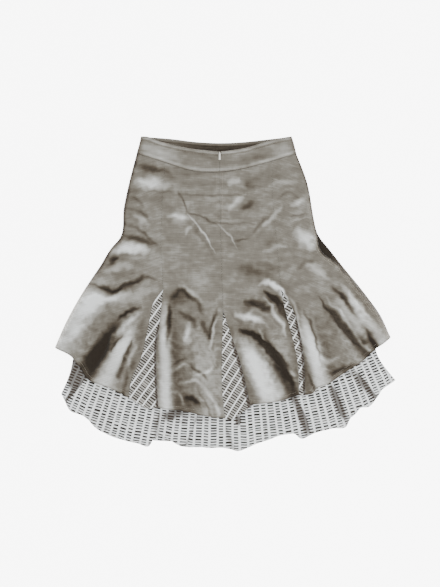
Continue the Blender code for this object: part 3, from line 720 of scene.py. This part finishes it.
def checkMaterial(name, look, godet=False):
    shade = Shade(name, 0.8, {"Sheen Weight": 0.15, "Specular IOR Level": 0.3})
    cloth = shade.attribute("cloth")
    tone = shade.attribute("tone", "Fac")
    u, v = shade.split(cloth)
    waver = shade.noise(shade.stretched(cloth, (60.0, 25.0, 1.0)), 1.0, 2.0)
    across = (u + (waver - 0.5) * 0.0016) / look["period"]
    repeat = across.calc("FRACT")
    period = look["period"]
    edge = 0.0007 / period
    wideStart = look["stripe"] / 2 / period
    wideEnd = wideStart + look["wide"] / period
    narrowStart = wideEnd + look["stripe"] / period
    narrowEnd = narrowStart + look["narrow"] / period

    def column(low, high):
        opened = shade.smooth(repeat, low - edge, low + edge)
        return opened * (1 - shade.smooth(repeat, high - edge, high + edge))

    wide = column(wideStart, wideEnd)
    narrow = column(narrowStart, narrowEnd)
    # each column of rungs has its own start, and its rungs are uneven in height and darkness
    columnNumber = across.calc("FLOOR") * 2 + (repeat > (wideEnd + narrowStart) / 2)
    columnRandom = shade.whiteNoise("1D", {"W": columnNumber})
    drift = shade.noise(shade.stretched(cloth, (12.0, 40.0, 1.0)), 1.0, 1.0)
    rungs = v / look["rungPitch"] + columnRandom * 7.3 + drift * 1.2
    rungNumber = rungs.calc("FLOOR")
    rungRandom = shade.whiteNoise("2D", {"Vector": shade.joined(columnNumber, rungNumber)})
    rungPlace = rungs.calc("FRACT")
    thickness = 0.46 + rungRandom * 0.22
    rung = shade.smooth(rungPlace, 0.02, 0.10) * (1 - shade.smooth(rungPlace - thickness, 0.0, 0.08))
    group = shade.noise(shade.joined(columnNumber * 3.7, v * 55.0), 1.0, 1.0)
    depth = shade.smooth(group * 0.75 + rungRandom * 0.4, 0.16, 0.48)
    rungColour = shade.mix(depth, look["rungPale"], look["rungDark"])
    columns = wide + narrow
    if godet:
        ground = shade.mix(columns, look["white"], look["ground"])
        pattern = shade.mix(columns * rung, ground, rungColour)
    else:
        pattern = shade.mix(columns * rung, look["white"], rungColour)
    threads = shade.noise(shade.stretched(cloth, (900.0, 900.0, 1.0)), 1.0, 2.0)
    threadTint = shade.ramp(threads, [(0.3, (0.25, 0.25, 0.24)), (0.7, (1.0, 1.0, 1.0))])
    pattern = shade.mix(0.16, pattern, threadTint, "MULTIPLY")
    # painted shade: the print darkens towards the shade colour where the tone is low
    hollow = shade.smooth(0.0 - tone, 0.12, 0.95)
    colour = shade.mix(hollow * 0.85, pattern, look["shade"])
    height = threads * 0.5 + columns * rung * -0.5 + (1 - columns) * 0.5
    return shade.finish(colour, height, 0.5, 0.0006)


def plainMaterial(name, colour, accent, roughness, metallic=0.0, scale=900.0, bump=0.3):
    shade = Shade(name, roughness, {"Metallic": metallic})
    spot = shade.add("ShaderNodeTexCoord", {}, {}, "Object")
    grain = shade.noise(spot, scale, 3.0, 0.6)
    wear = shade.noise(spot, scale / 7, 3.0, 0.6)
    mixed = shade.ramp(grain * 0.5 + wear * 0.5, [(0.3, colour), (0.7, accent)])
    return shade.finish(mixed, grain, bump, 0.0004, roughness + (wear - 0.5) * 0.2)


materials = {
    "linen": linenMaterial("linen"),
    "check": checkMaterial("check_cloth", checkLook),
    "godet": checkMaterial("check_cloth_godet", godetLook, True),
    "tape": plainMaterial("zip_tape_cloth", (0.10, 0.075, 0.05), (0.19, 0.155, 0.115), 0.8),
    "thread": plainMaterial("sewing_thread", (0.30, 0.265, 0.21), (0.46, 0.43, 0.37), 0.7),
    "metal": plainMaterial(
        "lacquered_zip_metal", (0.10, 0.085, 0.065), (0.23, 0.20, 0.16), 0.34,
        metallic=1.0, scale=500.0, bump=0.1),
    # the pull's pale colour is a painted glint
    "glintPull": plainMaterial(
        "pale_zip_pull_glint", (0.62, 0.60, 0.55), (0.78, 0.77, 0.73), 0.35, scale=400.0, bump=0.05),
}
print("materials made")


def placed(name, data):
    holder = bpy.data.objects.new(name, data)
    bpy.context.scene.collection.objects.link(holder)
    return holder


def addSheet(name, points, heights, thickness, material, cloth, tone):
    # a thin shell of cloth: an open sheet through the points, with its weave's own coordinates
    rows, columns = heights.shape
    places = np.empty((rows * columns, 3))
    places[:, 0] = (points[..., 0].ravel() - tableMiddle[0]) * mm
    places[:, 1] = (points[..., 1].ravel() - tableMiddle[1]) * mm
    places[:, 2] = heights.ravel() * mm
    first = (np.arange(rows - 1)[:, None] * columns + np.arange(columns - 1)[None, :]).ravel()
    faces = np.stack([first, first + columns, first + columns + 1, first + 1], axis=1)
    mesh = bpy.data.meshes.new(name)
    mesh.from_pydata(places.tolist(), [], faces.tolist())
    mesh.shade_smooth()
    weave = mesh.attributes.new("cloth", "FLOAT_VECTOR", "POINT")
    grain = np.stack([cloth[0].ravel() * mm, cloth[1].ravel() * mm, 0 * places[:, 0]], axis=1)
    weave.data.foreach_set("vector", grain.ravel())
    # the tone carries painted shade and painted highlights, with some random tone, for the materials' colour
    shadeOf = mesh.attributes.new("tone", "FLOAT", "POINT")
    shadeOf.data.foreach_set("value", tone.ravel().astype(float))
    sheet = placed(name, mesh)
    wall = sheet.modifiers.new("wall", "SOLIDIFY")
    wall.thickness = thickness * mm
    wall.offset = 0.0
    mesh.materials.append(material)
    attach(sheet, "skirt")
    step = np.stack([points[..., 0], points[..., 1], heights], axis=2) * mm
    acrossEdge = step[:-1, 1:] - step[:-1, :-1]
    downEdge = step[1:, :-1] - step[:-1, :-1]
    area = np.linalg.norm(np.cross(acrossEdge, downEdge), axis=2).sum()
    print(f"  {name}: cloth {area:.4f} m2, {len(faces)} faces")
    return sheet


def turned(points, degrees):
    # the cloth's grain, turned from straight down the skirt
    angle = math.radians(degrees)
    x, y = points[..., 0], points[..., 1]
    return x * math.cos(angle) + y * math.sin(angle), y * math.cos(angle) - x * math.sin(angle)


def seamRows(upper, lower, above, below):
    top = smoothLine(upper, np.linspace(0, 1, above + 1))
    bottom = smoothLine(lower, np.linspace(0, 1, below + 1))
    return np.vstack([top, bottom[1:]])


def downGore(above, below):
    # fractions down a gore, half of the way above the meeting point of its two seam tables
    return np.concatenate([np.linspace(0, 0.5, above + 1), np.linspace(0.5, 1, below + 1)[1:]])


def besideEdge(columns, extra, leftEdge):
    # closer columns beside a free edge
    extra = np.array(extra)
    return np.sort(np.concatenate([columns, extra if leftEdge else 1 - extra]))


def yokePoints(leftX, rightX, columns, side):
    x = leftX + (rightX - leftX) * columns
    curve = smoothLine(yokeSeam, np.linspace(0, 1, 400))
    return np.stack([x, np.interp(x, curve[:, 0], curve[:, 1]) + side * layers["seamGap"] / 2], axis=1)


def fitted(line, first, last, columns):
    line = line + (first - line[0]) * (1 - columns[:, None])
    return line + (last - line[-1]) * columns[:, None]


# painted shade along the side edges and the hem's edge: how far it reaches in mm, and how dark it is
paintedEdgeShade = {"left": 5.5, "right": 3.5, "hemReach": 2.5, "depth": 1.0, "hem": 0.5}
goreRows = {"above": 140, "below": 130}
gores = {
    "gore_outer_left": {
        "left": (sideLeftUpper, sideLeftLower), "right": (princessLeft, godetLeftSeam), "hem": hemOuterLeft,
        "columns": 104, "edge": "left", "grain": 17, "flat": (0.29, 0.66), "area": 0.090,
    },
    "gore_inner_left": {
        "left": (princessLeft, godetLeftFold), "right": (centreSeam, godetCentreSeam), "hem": hemInnerLeft,
        "columns": 78, "edge": None, "grain": 0, "flat": (0.18, 0.66), "area": 0.097,
    },
    "gore_inner_right": {
        "left": (centreSeam, godetCentreFold), "right": (princessRight, godetRightSeam), "hem": hemInnerRight,
        "columns": 78, "edge": None, "grain": -6, "flat": (0.19, 0.64), "area": 0.086,
    },
    "gore_outer_right": {
        "left": (princessRight, godetRightFold), "right": (sideRightUpper, sideRightLower),
        "hem": hemOuterRight, "columns": 104, "edge": "right", "grain": -20,
        "flat": (0.29, 0.66), "area": 0.085,
    },
}


halfGap = np.array([layers["seamGap"] / 2, 0.0])


def addGore(name, gore):
    columns = np.linspace(0, 1, gore["columns"] + 1)
    if gore["edge"]:
        columns = besideEdge(columns, [0.004, 0.008, 0.017, 0.03], gore["edge"] == "left")
    left = seamRows(*gore["left"], **goreRows)
    right = seamRows(*gore["right"], **goreRows)
    left = left + (0 if gore["edge"] == "left" else halfGap)
    right = right - (0 if gore["edge"] == "right" else halfGap)
    top = yokePoints(left[0, 0], right[0, 0], columns, -1)
    bottom = fitted(smoothLine(gore["hem"], columns), left[-1], right[-1], columns)
    left[0], right[0] = top[0], top[-1]
    points = patch(top, bottom, left, right, columns, downGore(**goreRows))
    x, y = points[..., 0], points[..., 1]
    relief = linenRelief(x, y) + linenDetail(x, y)
    # painted shade in hollows and painted highlights on crests, with the painted shade and highlights of
    # linenShades
    tone = linenHollows.tone(x, y, relief) - shadePatches(*wandered(x, y), linenShades)
    heights = layers["zipside"] + relief
    if gore["edge"]:
        fromEdge = distanceTo(points, left if gore["edge"] == "left" else right)
        heights = roundedToEdge(heights, layers["goreEdge"], fromEdge)
        # painted shade along the free side edge, uneven, and weaker towards the hem
        sideShade = paintedEdgeShade["depth"] * np.exp(-(fromEdge / paintedEdgeShade[gore["edge"]]) ** 2)
        tone -= sideShade * (1.0 + 0.5 * crumple(x, y, 15, 71)) * (1 - 0.45 * rise(-y, -80, 60))
    # painted shade along the hem's edge
    fromHem = np.hypot(*(points - bottom[None]).transpose(2, 0, 1))
    tone -= paintedEdgeShade["hem"] * np.exp(-(fromHem / paintedEdgeShade["hemReach"]) ** 2)
    sheet = addSheet(name + "_cloth", points, heights, layers["linen"], materials["linen"],
                     turned(points, gore["grain"]), tone)
    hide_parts(name)


godets = {
    "godet_left": {
        "seam": (princessLeft, godetLeftSeam), "fold": (princessLeft, godetLeftFold), "hem": hemGodetLeft,
        "columns": 34, "reach": 8.0, "grain": -36, "flat": (0.10, 0.30), "area": 0.0144,
    },
    "godet_centre": {
        "seam": (centreSeam, godetCentreSeam), "fold": (centreSeam, godetCentreFold), "hem": hemGodetCentre,
        "columns": 34, "reach": 7.0, "grain": -32, "flat": (0.09, 0.28), "area": 0.0129,
    },
    "godet_right": {
        "seam": (princessRight, godetRightSeam), "fold": (princessRight, godetRightFold),
        "hem": hemGodetRight, "columns": 18, "reach": 7.0, "grain": -30,
        "flat": (0.04, 0.27), "area": 0.0066,
    },
}


# in mm from the fold that covers a godet, and for the shadow also in shares of its length
godetForm = {
    "detail": 0.5, "sinkFrom": -16.0, "sinkTo": -3.0,
    "shadow": 2.2, "shadowFrom": -7.5, "shadowTo": -1.0, "shadowTop": 0.2, "shadowFull": 0.45,
    "darkest": -0.3, "lighter": 0.25,
}


def addGodet(name, godet):
    rows = goreRows["below"] + 1
    down = np.linspace(0, 1, rows)
    across = np.linspace(0, 1, godet["columns"] + 1)
    left = seamRows(*godet["seam"], **goreRows)[-rows:] + halfGap
    fold = seamRows(*godet["fold"], **goreRows)[-rows:]
    right = fold + np.stack([godet["reach"] * rise(down, 0, 0.3), 0 * down], axis=1)
    right[0] = left[0] + np.array([2.0, 0.0])
    top = left[0] + across[:, None] * (right[0] - left[0])
    bottom = fitted(smoothLine(godet["hem"], across), left[-1], right[-1], across)
    points = patch(top, bottom, left, right, across, down)
    points[..., 1] -= layers["seamGap"] * (1 - down)[:, None]
    x, y = points[..., 0], points[..., 1]
    form, fromFold = godetForm, x - fold[:, :1]
    sunk = layers["godetTuck"] * rise(fromFold, form["sinkFrom"], form["sinkTo"])
    relief = linenRelief(x, y) + form["detail"] * linenDetail(x, y)
    shadow = form["shadow"] * rise(fromFold, form["shadowFrom"], form["shadowTo"])
    shadow = shadow * rise(down, form["shadowTop"], form["shadowFull"])[:, None]
    # painted shade and highlights from the hollows, lifted overall, less the painted shadow along the
    # covering fold
    tone = np.clip(linenHollows.tone(x, y, relief), form["darkest"], 1) + form["lighter"] - shadow
    heights = layers["zipside"] + relief - sunk
    sheet = addSheet(name + "_cloth", points, heights, layers["check"], materials["godet"],
                     turned(points, godet["grain"]), tone)
    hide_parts(name)


# painted shade and painted highlights on the near band, in the same columns as linenShades
bandShades = [
    ((158, 152), (18, 6), 18, -0.45),
    ((139, 155), (4, 12), 8, 0.40),
    ((200, 158), (20, 5), 8, 0.16),
    ((254, 158), (18, 3.5), -18, 0.34),
    ((282, 150), (12, 5), -15, -0.20),
    ((236, 152), (12, 3), -8, -0.16),
    ((268, 164), (16, 3), -18, -0.30),
    ((292, 156), (5, 4), -18, -0.30),
]
bands = {
    "edgeStitch": 9.0, "rows": 26, "columns": 84,
    "notchHalf": 3.0, "notchFoot": 337.0, "notchTop": 344.0, "zipX": -12.0,
    "flat": (0.21, 0.06), "areaLeft": 0.0110, "areaRight": 0.0100,
    "farColumns": 160, "farFlat": (0.41, 0.07), "farArea": 0.0255,
}


def notchEdge(side, rows):
    y = np.linspace(nearWaistLeft[-1][1], centreSeam[0][1], rows)
    half = layers["seamGap"] + bands["notchHalf"] * rise(y, bands["notchFoot"], bands["notchTop"])
    return np.stack([bands["zipX"] + side * half, y], axis=1)


def bandEdges(left, right, ends, waist, columns, down):
    # the four edges of a band, with its sides brought down to the yoke seam
    bottom = yokePoints(*ends, columns, 1)
    left = left + (bottom[0] - left[-1]) * down[:, None]
    right = right + (bottom[-1] - right[-1]) * down[:, None]
    return fitted(smoothLine(waist, columns), left[0], right[0], columns), bottom, left, right


def addBandHalf(name, waist, sideLine, leftHalf):
    rows = bands["rows"] + 1
    down = np.linspace(0, 1, rows)
    columns = besideEdge(np.linspace(0, 1, bands["columns"] + 1), [0.004, 0.01, 0.02], leftHalf)
    centre = notchEdge(-1 if leftHalf else 1, rows)
    side = smoothLine(sideLine, down)
    ends = (sideLine[-1][0], centre[-1, 0]) if leftHalf else (centre[-1, 0], sideLine[-1][0])
    left, right = (side, centre) if leftHalf else (centre, side)
    top, bottom, left, right = bandEdges(left, right, ends, waist, columns, down)
    points = patch(top, bottom, left, right, columns, down)
    x, y = points[..., 0], points[..., 1]
    pull = 0.5 * crumple(x, 3 * y, 40, 21) + 0.3 * crumple(x, 2 * y, 18, 22)
    # the top edge is turned over and stitched, and the seam below is pressed
    fromTop = down[:, None] * (top[:, 1] - bottom[:, 1])[None, :]
    fromSeam = (1 - down)[:, None] * (top[:, 1] - bottom[:, 1])[None, :]
    roll = 0.5 * np.exp(-((fromTop - 5.0) / 3.0) ** 2)
    roll -= 0.9 * np.exp(-((fromTop - bands["edgeStitch"]) / 1.4) ** 2)
    roll -= 0.7 * np.exp(-(fromTop / 1.5) ** 2)
    press = -0.9 * np.exp(-(fromSeam / 1.8) ** 2) + 0.6 * np.exp(-((fromSeam - 6.0) / 3.5) ** 2)
    relief = linenRelief(x, y) + pull + roll + press
    fromSide = distanceTo(points, left if leftHalf else right)
    heights = roundedToEdge(layers["zipsideBand"] + relief, layers["bandEdge"], fromSide)
    # painted highlights where the band stands up and painted shade where it dips, at the stitch line, the
    # pressed seam and the free side edge
    tone = np.tanh(0.5 * (roll + press) + 0.30 * pull - 0.7 * np.exp(-(fromSide / 5.0) ** 2))
    tone -= shadePatches(*wandered(x, y), bandShades)
    sheet = addSheet(name + "_cloth", points, heights, layers["band"], materials["linen"],
                     turned(points, 0), tone)
    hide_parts(name)


def addFarBand():
    across = np.linspace(0, 1, bands["farColumns"] + 1)
    down = np.linspace(0, 1, bands["rows"] + 1)
    left, right = smoothLine(bandSideLeft, down), smoothLine(bandSideRight, down)
    ends = (yokeSeam[0][0], yokeSeam[-1][0])
    top, bottom, left, right = bandEdges(left, right, ends, farWaist, across, down)
    points = patch(top, bottom, left, right, across, down)
    x, y = points[..., 0], points[..., 1]
    heights = np.full(x.shape, layers["plainBand"])
    fromTop = down[:, None] * (top[:, 1] - bottom[:, 1])[None, :]
    # painted shade: the far band darker all over, darker still towards the zip opening below its top edge,
    # and along its stitch line
    nearGap = rise(np.abs(x - bands["zipX"]), 150.0, 20.0) * 0.75
    stitchLineShade = 0.5 * np.exp(-((fromTop - bands["edgeStitch"]) / 1.8) ** 2)
    tone = -0.15 - nearGap * rise(fromTop, 2.0, 16.0) - stitchLineShade
    sheet = addSheet("waistband_plainside_cloth", points, heights, layers["plainBandCloth"],
                     materials["linen"], turned(points, 0), tone)
    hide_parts("waistband_plainside")


# painted shade on the plain side where it shows at the right hip, in the same columns as linenShades
plainShades = [((327, 250), (9, 20), -38, 1.0), ((322, 236), (6, 12), -25, 0.8)]
plainGores = {"rows": {"above": 54, "below": 54}, "columns": 60, "flat": (0.43, 0.67), "area": 0.179}


def addPlainGores():
    columns = np.linspace(0, 1, plainGores["columns"] + 1)
    rows = plainGores["rows"]
    centre = seamRows(centreSeam, plainCentreLower, **rows)
    leftEdge = seamRows(sideLeftUpper, sideLeftLower, **rows)
    rightEdge = seamRows(plainRightUpper, plainRightLower, **rows)
    sides = {
        "plain_gore_left": (leftEdge, centre - halfGap, plainHem[:5], 15),
        "plain_gore_right": (centre + halfGap, rightEdge, plainHem[4:], -15),
    }
    for name, (left, right, hem, grain) in sides.items():
        left, right = left.copy(), right.copy()
        top = yokePoints(left[0, 0], right[0, 0], columns, -1)
        left[0], right[0] = top[0], top[-1]
        bottom = fitted(smoothLine(hem, columns), left[-1], right[-1], columns)
        points = patch(top, bottom, left, right, columns, downGore(**rows))
        heights = np.full(points.shape[:2], layers["plain"])
        tone = 0.10 * crumple(points[..., 0], points[..., 1], 40, 31) - 0.1
        tone -= shadePatches(points[..., 0], points[..., 1], plainShades)
        sheet = addSheet(name + "_cloth", points, heights, layers["plainCloth"], materials["linen"],
                         turned(points, grain), tone)
        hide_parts(name)


underskirts = {
    "underskirt_plainside": {
        "hem": lowerHem, "columns": 220, "hidden": 14, "shown": 40, "inset": 6.0,
        "height": lowerUnderskirtHeight, "flat": (0.82, 0.71), "area": 0.407,
        "rests": ["plain_gore_left", "plain_gore_right"],
    },
    "underskirt_zipside": {
        "hem": upperHem, "columns": 380, "hidden": 22, "shown": 62, "inset": 0.0,
        "height": upperUnderskirtHeight, "flat": (0.86, 0.74), "area": 0.430,
        "rests": ["underskirt_plainside"],
    },
}
fan = {"centreY": 657.0, "radius": 1000.0}  # the check's stripes fan out from far above the waist
underskirtForm = {"hiddenShare": 0.70, "drawnIn": 0.8, "lighter": 0.15, "hiddenShade": -0.3}


def addUnderskirt(name, made):
    turn = underskirtForm["hiddenShare"]
    hidden, shown = np.linspace(0, turn, made["hidden"]), np.linspace(turn, 1.0, made["shown"])
    down = np.concatenate([hidden, shown[1:]])
    across = np.linspace(0, 1, made["columns"] + 1)
    inset = np.array([made["inset"], 0.0])
    left, right = smoothLine(underskirtLeft, down) + inset, smoothLine(underskirtRight, down) - inset
    top = yokePoints(left[0, 0], right[0, 0], across, -1)
    top[:, 1] -= layers["underskirtTopGap"] + made["inset"]
    left[0], right[0] = top[0], top[-1]
    bottom = smoothLine(made["hem"], across)
    nearHem = rise(down, underskirtForm["drawnIn"], 1.0)[:, None]
    left, right = left + (bottom[0] - left[-1]) * nearHem, right + (bottom[-1] - right[-1]) * nearHem
    points = patch(top, bottom, left, right, across, down)
    x, y = points[..., 0], points[..., 1]
    relief = made["height"](x, y)
    angle = np.arctan2(x, fan["centreY"] - y)
    reach = np.hypot(x, fan["centreY"] - y)
    cloth = (angle * fan["radius"], reach)
    if name == "underskirt_zipside":
        # painted shade in hollows, painted highlights on crests, and the painted shadows of underskirtShades
        tone = underskirtHollows.tone(x, y, relief) + underskirtForm["lighter"]
        tone -= shadePatches(x, y, underskirtShades)
    else:
        # painted shade: the plain-side underskirt is darkened evenly
        tone = np.full(x.shape, underskirtForm["hiddenShade"])
    sheet = addSheet(name + "_cloth", points, relief, layers["check"], materials["check"], cloth, tone)
    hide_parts(name)


for name, gore in gores.items():
    addGore(name, gore)
for name, godet in godets.items():
    addGodet(name, godet)
addBandHalf("waistband_zipside_left", nearWaistLeft, bandSideLeft, True)
addBandHalf("waistband_zipside_right", nearWaistRight, bandSideRight, False)
addFarBand()
addPlainGores()
for name, made in underskirts.items():
    addUnderskirt(name, made)
print("cloth laid")


stitching = {
    "thread": 0.45, "share": 0.72,  # thickness, and stitch length as a share of the pitch
    "rings": ((0.45, 0.2), (1.0, 0.6), (0.45, 0.2)),  # thickness and lift along a stitch, as shares
    "lines": {
        "band_edge_stitches": {"pitch": 3.2, "inset": 9.0},
        "yoke_stitches": {"pitch": 3.2, "inset": 3.0},
        "right_side_stitches": {"pitch": 3.4, "inset": (6.0, 10.5)},
        "linen_hem_stitches": {"pitch": 3.6, "inset": 9.0},
        "underskirt_hem_stitches": {"pitch": 3.4, "inset": 4.0},
        "zip_stitches": {"pitch": 3.0, "inset": 7.0, "ends": (300.0, 176.0)},
    },
}


def evenly(line, pitch):
    # middles and directions of stitches along a line
    steps = np.hypot(*np.diff(line, axis=0).T)
    along = np.concatenate([[0.0], np.cumsum(steps)])
    marks = np.arange(pitch / 2, along[-1], pitch)
    middles = np.stack([np.interp(marks, along, line[:, k]) for k in (0, 1)], axis=1)
    ahead = np.stack([np.interp(marks + 0.5, along, line[:, k]) for k in (0, 1)], axis=1)
    return middles, ahead - middles


def movedAside(line, distance):
    # a line moved to its left side
    way = np.gradient(line, axis=0)
    way /= np.hypot(*way.T)[:, None]
    return line + distance * np.stack([-way[:, 1], way[:, 0]], axis=1)


def addStitches(name, line, pitch, nodes):
    # a row of short thread spindles, each end resting on the highest of the nodes' sheets
    half = pitch * stitching["share"] / 2
    thread = stitching["thread"] / 2
    trees = []
    for node in nodes:
        sheet = bpy.data.objects[f"{node}_cloth"]
        places = [vertex.co[:] for vertex in sheet.data.vertices]
        corners = [tuple(face.vertices) for face in sheet.data.polygons]
        trees.append((BVHTree.FromPolygons(places, corners), sheet.modifiers["wall"].thickness / 2))
    vertices, faces = [], []
    for (x, y), way in zip(*evenly(line, pitch)):
        way = way / np.hypot(*way)
        aside = np.array([-way[1], way[0]])
        ends = []
        for along in (-half, 0.0, half):
            place = (np.array([x, y]) + along * way - tableMiddle) * mm
            hits = [(tree.ray_cast((*place, 0.2), (0, 0, -1))[0], wall) for tree, wall in trees]
            tops = [hit[2] + wall for hit, wall in hits if hit is not None]
            if not tops:
                break
            ends.append((place, max(tops)))
        if len(ends) < 3:
            continue
        first = len(vertices)
        for (place, top), (fat, lift) in zip(ends, stitching["rings"]):
            level = top + thread * mm * lift
            for side, up in ((-1, 0), (0, 1), (1, 0), (0, -1)):
                spot = place + aside * side * thread * fat * mm
                vertices.append((spot[0], spot[1], level + up * thread * fat * mm))
        for ring in (0, 4):
            for k in range(4):
                a, b = first + ring + k, first + ring + (k + 1) % 4
                faces.append((a, b, b + 4, a + 4))
        faces.append((first + 3, first + 2, first + 1, first))
        faces.append((first + 8, first + 9, first + 10, first + 11))
    mesh = bpy.data.meshes.new(name)
    mesh.from_pydata(vertices, [], faces)
    mesh.materials.append(materials["thread"])
    piece = placed(name, mesh)
    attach(piece, "skirt")
    print(f"  {name}: {len(faces) // 10} stitches")


def sewAll():
    lines = stitching["lines"]
    many = np.linspace(0.01, 0.99, 300)
    edge = lines["band_edge_stitches"]
    for half, waist in (("left", nearWaistLeft), ("right", nearWaistRight)):
        line = movedAside(smoothLine(waist, many), -edge["inset"])
        addStitches(f"band_edge_stitches_{half}", line, edge["pitch"], [f"waistband_zipside_{half}"])
    yoke = lines["yoke_stitches"]
    line = movedAside(smoothLine(yokeSeam, many), yoke["inset"])
    bandNodes = ["waistband_zipside_left", "waistband_zipside_right"]
    addStitches("yoke_stitches", line, yoke["pitch"], bandNodes)
    sides = lines["right_side_stitches"]
    seam = np.vstack([smoothLine(sideRightUpper, many), smoothLine(sideRightLower, many)])[120:]
    for number, inset in enumerate(sides["inset"]):
        name = f"right_side_stitches_{number + 1}"
        addStitches(name, movedAside(seam, -inset), sides["pitch"], ["gore_outer_right"])
    hem = lines["linen_hem_stitches"]
    for name, gore in gores.items():
        line = movedAside(smoothLine(gore["hem"], np.linspace(0.02, 0.98, 300)), hem["inset"])
        addStitches(f"{name}_hem_stitches", line, hem["pitch"], [name])
    ruffle = lines["underskirt_hem_stitches"]
    line = movedAside(smoothLine(upperHem, np.linspace(0.005, 0.995, 900)), ruffle["inset"])
    addStitches("underskirt_hem_stitches", line, ruffle["pitch"], ["underskirt_zipside"])
    closure = lines["zip_stitches"]
    for half, side in (("left", -1), ("right", 1)):
        line = np.array([(bands["zipX"] + side * closure["inset"], y) for y in closure["ends"]])
        addStitches(f"zip_stitches_{half}", line, closure["pitch"], list(gores))


sewAll()
print("sewn")

for node, material in {"zip_tape": "tape", "zip_slider": "metal", "zip_pull": "glintPull"}.items():
    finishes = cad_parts[node].data.materials
    for place in range(len(finishes)):
        finishes[place] = materials[material]
print("zip finished")


stage = {
    "floorHalf": 4.0, "floorDrop": 0.0006, "floorGlow": 6.5, "floorGrain": 300.0, "surroundings": 1.7,
    "floorTints": [(0.0, (0.93, 0.93, 0.93)), (1.0, (0.96, 0.96, 0.96))],
    "lamps": {
        "key": {"place": (-1.5, 1.2, 1.4), "size": 0.8, "power": 85},
        "fill": {"place": (1.2, -0.6, 1.9), "size": 1.6, "power": 15},
    },
}


def addStage():
    floor = bpy.data.meshes.new("floor")
    half, white = stage["floorHalf"], (1.0, 1.0, 1.0, 1.0)
    corners = [(-half, -half, 0), (half, -half, 0), (half, half, 0), (-half, half, 0)]
    floor.from_pydata(corners, [], [(0, 1, 2, 3)])
    surface = placed("surface", floor)
    surface.location = (0, 0, -stage["floorDrop"])
    shade = Shade("pale_surface", 0.9, {"Emission Strength": stage["floorGlow"], "Emission Color": white})
    grain = shade.noise(shade.add("ShaderNodeTexCoord", {}, {}, "Object"), stage["floorGrain"])
    tint = shade.ramp(grain, stage["floorTints"])
    floor.materials.append(shade.finish(tint, grain, 0.05, 0.0005))

    world = bpy.data.worlds.new("studio")
    bpy.context.scene.world = world
    world.use_nodes = True
    background = world.node_tree.nodes["Background"]
    background.inputs["Color"].default_value = white
    background.inputs["Strength"].default_value = stage["surroundings"]

    for name, lamp in stage["lamps"].items():
        light = bpy.data.lights.new(name, "AREA")
        light.size = lamp["size"]
        light.energy = lamp["power"]
        holder = placed(name, light)
        holder.location = lamp["place"]
        aim = np.array(lamp["place"]) * -1.0
        tilt = math.acos(-aim[2] / np.linalg.norm(aim))
        holder.rotation_euler = (tilt, 0, math.atan2(aim[0], -aim[1]))


camera = {"height": 2.2, "clothHeight": 0.008, "sensor": 36.0}


def addCamera():
    data = bpy.data.cameras.new("camera")
    data.sensor_width = camera["sensor"]
    frameHeight = photo["frameHeight"] * photo["mmPerPixel"] * mm
    data.lens = camera["sensor"] * (camera["height"] - camera["clothHeight"]) / frameHeight
    holder = placed("camera", data)
    (x, y), = fromPhoto([photo["frameMiddle"]])
    holder.location = ((x - tableMiddle[0]) * mm, (y - tableMiddle[1]) * mm, camera["height"])
    bpy.context.scene.camera = holder


addStage()
addCamera()
print("stage set")
